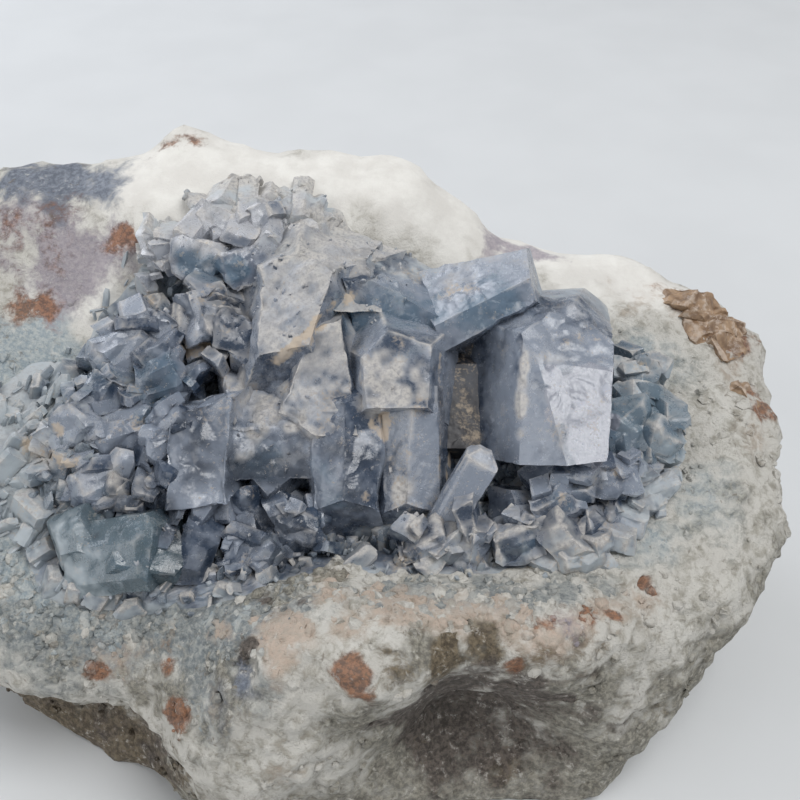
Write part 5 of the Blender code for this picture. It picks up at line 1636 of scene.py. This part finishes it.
@dataclass
class Crust:
    """The crust of crystals in the hollow: its ground, and the crystals of all sizes that stand on it."""

    form: RockForm
    spokes: int = 400
    rings: int = 140
    under_rings: int = 10
    medium_tries: int = 16000
    medium_most: int = 460
    medium_rings: int = 16
    medium_spokes: int = 22
    small_tries: int = 40000
    small_most: int = 2700
    widest: float = 1.25

    # The way that the blades lie on the left: along the rock and up the slope.
    BLADE_WAY = np.array([0.6, 0.4, 0.35])

    def build(self, ground: bpy.types.Material, crystals: bpy.types.Material) -> None:
        """Makes the ground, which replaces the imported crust, and the crystals."""
        self.build_ground(ground)
        self.build_medium(crystals)
        self.build_small(crystals)

    def build_ground(self, material: bpy.types.Material) -> None:
        """The ground: rings from the middle of the crust out to its edge, then back under it."""
        form = self.form
        turn = np.arange(self.spokes) / self.spokes * 2 * math.pi
        out, back = np.linspace(0.01, 1.0, self.rings), np.linspace(0.98, 0.03, self.under_rings)
        share = np.concatenate([out, back])
        reach = share[:, None] * form.limit(turn)
        directions = form.toward(np.broadcast_to(turn, reach.shape), reach).reshape(-1, 3)
        depth = form.crust_share(directions) * form.CRUST_THICKNESS
        under = np.repeat(np.arange(len(share)) >= self.rings, self.spokes)
        edge = 2.4 * (1 - form.crust_share(directions))
        sunk = np.where(under, np.maximum(depth - form.GAP, edge + form.GAP), edge)
        base = form.surface(directions, sunk)
        lift, tone = self.lift(base, form.crust_share(directions))
        lift = np.where(under, 0.0, lift)
        points = base + unit(base - form.HEART) * lift[:, None]
        points, faces = capped(points, len(share), self.spokes)
        tone = np.append(tone, [0.0, 0.0])
        surface = Surface(points, faces, {"grain": points * MM, "tone": tone, "worn": np.zeros(len(points))})
        Piece.make("crust", coat(surface, 0.45), material, "crust", ("crystal_crust",), 24.0)

    def lift(self, points: Array, share: Array) -> tuple[Array, Array]:
        """How far the ground stands above the rock's smooth form, as one mass of facets.

        On the left the facets are larger, stretched the way that the blades lie, and the mass is thick enough
        to bury the feet of the crystals.

        Args:
            points: places on the rock's form, in mm.
            share: 0 on bare rock to 1 inside the crust.

        Returns:
            The lift in mm, and the lightness of the facet that each point is on.
        """
        way = unit(self.BLADE_WAY)
        squeezed = points - 0.45 * (points @ way)[:, None] * way
        left = ease((-34 - points[:, 0]) / 12)
        broad, one = shard_relief(squeezed, 7.0, 86, 1.0)
        plain, two = shard_relief(points, 4.6, 80, 0.7)
        fine, three = shard_relief(points, 1.9, 84)
        lift = left * (broad + 2.6) + (1 - left) * (plain + 1.5) + fine
        return lift * share, 1.6 * (left * one + (1 - left) * two) + 0.6 * three

    def build_medium(self, material: bpy.types.Material) -> None:
        """Crystals of 3 to 9 mm, kept apart by about half their size, in three pieces."""
        form = self.form
        directions, points, normals = form.scatter(self.medium_tries, 51, self.widest)
        keep = form.inside(directions) > 0.07
        directions, points, normals = directions[keep], points[keep], normals[keep]
        points = points + normals * self.lift(points, form.crust_share(directions))[0][:, None]
        luck = chances(len(points), 9, 53)
        left = ease((-38 - points[:, 0]) / 12)
        right = ease((points[:, 0] - 40) / 12)
        front = ease((-20 - points[:, 1]) / 8)
        size = (2.6 + 4.6 * luck[:, 0] ** 2) * (1 + 0.2 * left) * (1 - 0.35 * right) * (1 - 0.25 * front)
        taken = np.zeros((0, 4))
        parts = []
        for k in range(len(points)):
            near = np.linalg.norm(taken[:, :3] - points[k], axis=1) < 0.42 * (taken[:, 3] + size[k])
            if near.any() or len(parts) >= self.medium_most:
                continue
            taken = np.vstack([taken, [*points[k], size[k]]])
            # On the left the crystals lean one way, like a heap of blades. Elsewhere they point anywhere.
            leaning = normals[k] * (1 - 0.4 * left[k]) + left[k] * self.BLADE_WAY
            axis = leaning + (1.5 - 0.7 * left[k]) * (luck[k, 1:4] - 0.5)
            long = size[k] * (0.6 + 0.8 * luck[k, 4])
            widths = (size[k], size[k] * (0.4 + 0.5 * luck[k, 5]), long + 1.0)
            place = points[k] + unit(axis) * (0.35 * long)
            end = list(End)[int(luck[k, 6] * 4.99)]
            crystal = Crystal.grown(tuple(place), tuple(axis), tuple(luck[k, 6:9] - 0.5), widths, end, 80 + k)
            skin = crystal_surface(crystal.broken(2, 700 + k), self.medium_rings, self.medium_spokes,
                                   900 + 3 * k, 0.25, 0.2 + 0.5 * front[k])
            parts.append(coat(skin, 0.38 + 0.3 * front[k] + 0.2 * right[k]))
        third = math.ceil(len(parts) / 3)
        for number in range(3):
            group = parts[number * third:(number + 1) * third]
            Piece.make(f"crust_crystals_{number + 1}", joined(group), material, "crust", crease=20.0)

    def build_small(self, material: bpy.types.Material) -> None:
        """Crystals of 1 to 3 mm: prisms with cut ends, all in one mesh."""
        form = self.form
        directions, points, normals = form.scatter(self.small_tries, 61, self.widest)
        inside = form.inside(directions)
        keep = chance(len(points), 4, 61) < ease((inside - 0.01) / 0.16)
        points = points + normals * self.lift(points, form.crust_share(directions))[0][:, None]
        points, normals, inside = (each[keep][:self.small_most] for each in (points, normals, inside))
        count = len(points)
        luck = chances(count, 12, 9)
        size = 1.0 + 2.0 * luck[:, 0] ** 2 + 0.6 * ease(inside / 0.3) * luck[:, 1]
        size = size * (0.5 + 0.5 * ease(inside / 0.2))
        left = ease((-45 - points[:, 0]) / 12)
        way = normals * (1 - 0.3 * left[:, None]) + 1.6 * left[:, None] * self.BLADE_WAY
        height = 0.8 + size * (0.4 + 0.7 * luck[:, 9] + 1.1 * left)
        surface = prisms(points - normals * 0.9, way, 2.2, size, height, luck)
        Piece.make("crust_small", coat(surface, 0.5), material, "crust", crease=20.0)


# A small prism's section: a rectangle with its corners cut, from -1 to 1 both ways.
PRISM_OUTLINE = np.array([(1, 0.55), (0.6, 1), (-0.6, 1), (-1, 0.55),
                          (-1, -0.55), (-0.6, -1), (0.6, -1), (1, -0.55)])


def prisms(places: Array, way: Array, spread: float, width: Array, height: Array, luck: Array) -> Surface:
    """Many small prisms as one surface: three rings of eight points and two poles each.

    Each ring is the section times the ring's width and depth, at its share of the height. The two upper rings
    slope, as a crystal's end does, and the last is narrowed more one way than the other.

    Args:
        places: the middle of each root, in mm.
        way: the direction that each would grow in without chance, one row each.
        spread: how far chance turns it.
        width: each one's width in mm.
        height: how far each stands, in mm.
        luck: twelve values from 0 to 1 for each, which turn it and shape its depth and its end.

    Returns:
        The closed surfaces, with "grain", "tone" and "worn" as values.
    """
    axis = unit(way + spread * (luck[:, 2:5] - 0.5))
    side = unit(np.cross(axis, luck[:, 5:8] - 0.5))
    deep = np.cross(axis, side)
    depth = width * (0.35 + 0.5 * luck[:, 8])
    cut, skew = luck[:, 10], luck[:, 11]
    count, spokes = len(places), len(PRISM_OUTLINE)
    uneven = 1 + 0.22 * lattice_value(np.arange(count)[:, None], np.arange(spokes), 3, 29)
    slope_x, slope_y = 0.9 * (skew - 0.5)[:, None], 0.7 * (cut - 0.5)[:, None]
    levels = ((0.0, 1.0, 1.0, 0.0), (0.7, 1.0, 1.0, 1.0), (1.0, 0.3 + 0.6 * cut, 0.85 - 0.7 * cut, 1.0))
    rings = []
    for level, wide, thick, tilt in levels:
        x = PRISM_OUTLINE[:, 0] * uneven * np.broadcast_to(wide, count)[:, None] * width[:, None] / 2
        y = PRISM_OUTLINE[:, 1] * uneven * np.broadcast_to(thick, count)[:, None] * depth[:, None] / 2
        z = height[:, None] * level + tilt * (slope_x * x + slope_y * y)
        rings.append(places[:, None] + axis[:, None] * z[..., None]
                     + side[:, None] * x[..., None] + deep[:, None] * y[..., None])
    root, tip = rings[0].mean(axis=1, keepdims=True), rings[-1].mean(axis=1, keepdims=True)
    points = np.concatenate([*rings[::-1], tip, root], axis=1)
    local = points - places[:, None]
    grain = np.stack([(local * way[:, None]).sum(-1) for way in (side, deep, axis)], axis=-1)
    tone = np.repeat(2 * chance(count, 5, 33) - 1, points.shape[1])
    values = {"grain": grain.reshape(-1, 3) * MM, "tone": tone, "worn": np.zeros(len(tone))}
    return Surface(*repeated(points, len(rings), spokes), values)


@dataclass
class Studio:
    """The plain pale floor, the soft light and the camera."""

    # What the camera looks at in mm, from how high above the horizon in degrees, and from how far in mm.
    target: Place = (0.0, 0.0, 60.0)
    elevation: float = 40.0
    distance: float = 200.0
    view_angle: float = 42.0
    nearest: float = 5.0
    floor_half: float = 2500.0
    sky: str = "#ECEEF2"
    sky_strength: float = 0.42

    # Each light's name, place and size in metres, power in watts, and colour.
    LIGHTS = (
        ("key", (0.41, -0.16, 0.98), 0.6, 7.0, "#FFFFFF"),
        ("fill", (-0.55, 0.65, 0.5), 0.5, 3.4, "#F4F8FF"),
        ("front", (-0.95, -0.6, 0.38), 1.1, 6.0, "#FFFFFF"),
    )

    def build(self) -> None:
        """Makes all of it."""
        self.floor()
        self.lights()
        self.camera()

    def floor(self) -> None:
        """A wide matt sheet that the rock rests on."""
        half = self.floor_half * MM
        corners = [(-half, -half, 0), (half, -half, 0), (half, half, 0), (-half, half, 0)]
        mesh = bpy.data.meshes.new("floor")
        mesh.from_pydata(corners, [], [(0, 1, 2, 3)])
        tree = Tree("matt pale paper")
        tree.read((), {"cloud": (tree.add("TexCoord", out="Object"), 40.0, 2.0, 0.55)})
        colour = tree.layer(linear("#CFD1D2"), linear("#D2D4D5"), {"cloud": 1}, 0.3, 0.7)[0]
        shader = tree.add("BsdfPrincipled", {"Base Color": colour, "Roughness": 0.9})
        mesh.materials.append(tree.finish(Surface=shader))
        sheet = bpy.data.objects.new("floor", mesh)
        bpy.context.scene.collection.objects.link(sheet)

    def area(self, name: str, place: Place, size: float, power: float, colour: str) -> None:
        """A square soft light that looks at the crystals."""
        light = bpy.data.lights.new(name, "AREA")
        light.size = size
        light.energy = power
        light.color = linear(colour)[:3]
        lamp = bpy.data.objects.new(name, light)
        bpy.context.scene.collection.objects.link(lamp)
        lamp.location = place
        aim = Vector(self.target) * MM - lamp.location
        lamp.rotation_euler = aim.to_track_quat("-Z", "Y").to_euler()

    def lights(self) -> None:
        """Soft lights high on the right, behind on the left and low at the front left, and a pale sky."""
        for row in self.LIGHTS:
            self.area(*row)
        world = bpy.data.worlds.new("pale room")
        world.use_nodes = True
        background = world.node_tree.nodes["Background"]
        background.inputs["Color"].default_value = linear(self.sky)
        background.inputs["Strength"].default_value = self.sky_strength
        bpy.context.scene.world = world
        bpy.context.scene.view_settings.view_transform = "Standard"
        bpy.context.scene.cycles.use_denoising = True

    def camera(self) -> None:
        """The camera, at the photograph's angle."""
        lens = bpy.data.cameras.new("camera")
        lens.angle = math.radians(self.view_angle)
        lens.clip_start = self.nearest * MM
        camera = bpy.data.objects.new("camera", lens)
        bpy.context.scene.collection.objects.link(camera)
        rise = math.radians(self.elevation)
        ahead = Vector((0, math.cos(rise), -math.sin(rise)))
        camera.location = (Vector(self.target) - ahead * self.distance) * MM
        camera.rotation_euler = ahead.to_track_quat("-Z", "Y").to_euler()
        bpy.context.scene.camera = camera


def crystal_finishes() -> dict[str, bpy.types.Material]:
    """The finish of each group of crystals that has its own, of the plain ones and of the crust, by name."""
    finishes = {
        "plain": CrystalFinish("celestite, striated and dusty"),
        # Near black: partly the front crystal's own colour, partly painted shade for the recess behind it.
        "cavity": CrystalFinish("celestite, dark and clean", clear="#28262B", deep="#101319", veil="#38363B",
                                transmission=0.2, roughness=0.5, density=120.0, relief=0.2, speck_level=0.7),
        "glassy_block": CrystalFinish("celestite, clear", clear="#8DA0AC", deep="#6F8590", teal="#7890A0",
                                      transmission=0.6),
        "upper_blades": CrystalFinish("celestite, pale blades", clear="#D3D6DD", deep="#8D97A8",
                                      veil="#DCDEE4", transmission=0.4),
        "right_cluster": CrystalFinish("celestite, teal", clear="#A3B1BC", deep="#687E92", teal="#7B93A4"),
        "ground": CrystalFinish("celestite crust, fine grained", clear="#7D8999", deep="#525E70",
                                transmission=0.1, roughness=0.35),
        "crust": CrystalFinish("celestite crust, free crystals", clear="#9AA5B0", deep="#6F7C8C",
                               veil="#BCC0C4", transmission=0.4, roughness=0.22),
    }
    return {name: finish.material() for name, finish in finishes.items()}


def main() -> None:
    """Builds every part of the specimen, then the studio round it."""
    logging.basicConfig(level=logging.INFO, format="%(message)s")
    form = RockForm()
    wall = GeodeWall(form)
    rock = RockFinish().material()
    wall.build(rock)
    Crumbs(wall).build(rock)
    HoneyCrystals().build(HoneyFinish().material())
    finishes = crystal_finishes()
    skins = LargeCrystals().build(finishes)
    Druse(form).build(skins, finishes["plain"])
    Crust(form).build(finishes["ground"], finishes["crust"])
    Studio().build()
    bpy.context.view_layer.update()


if __name__ == "__main__":
    main()
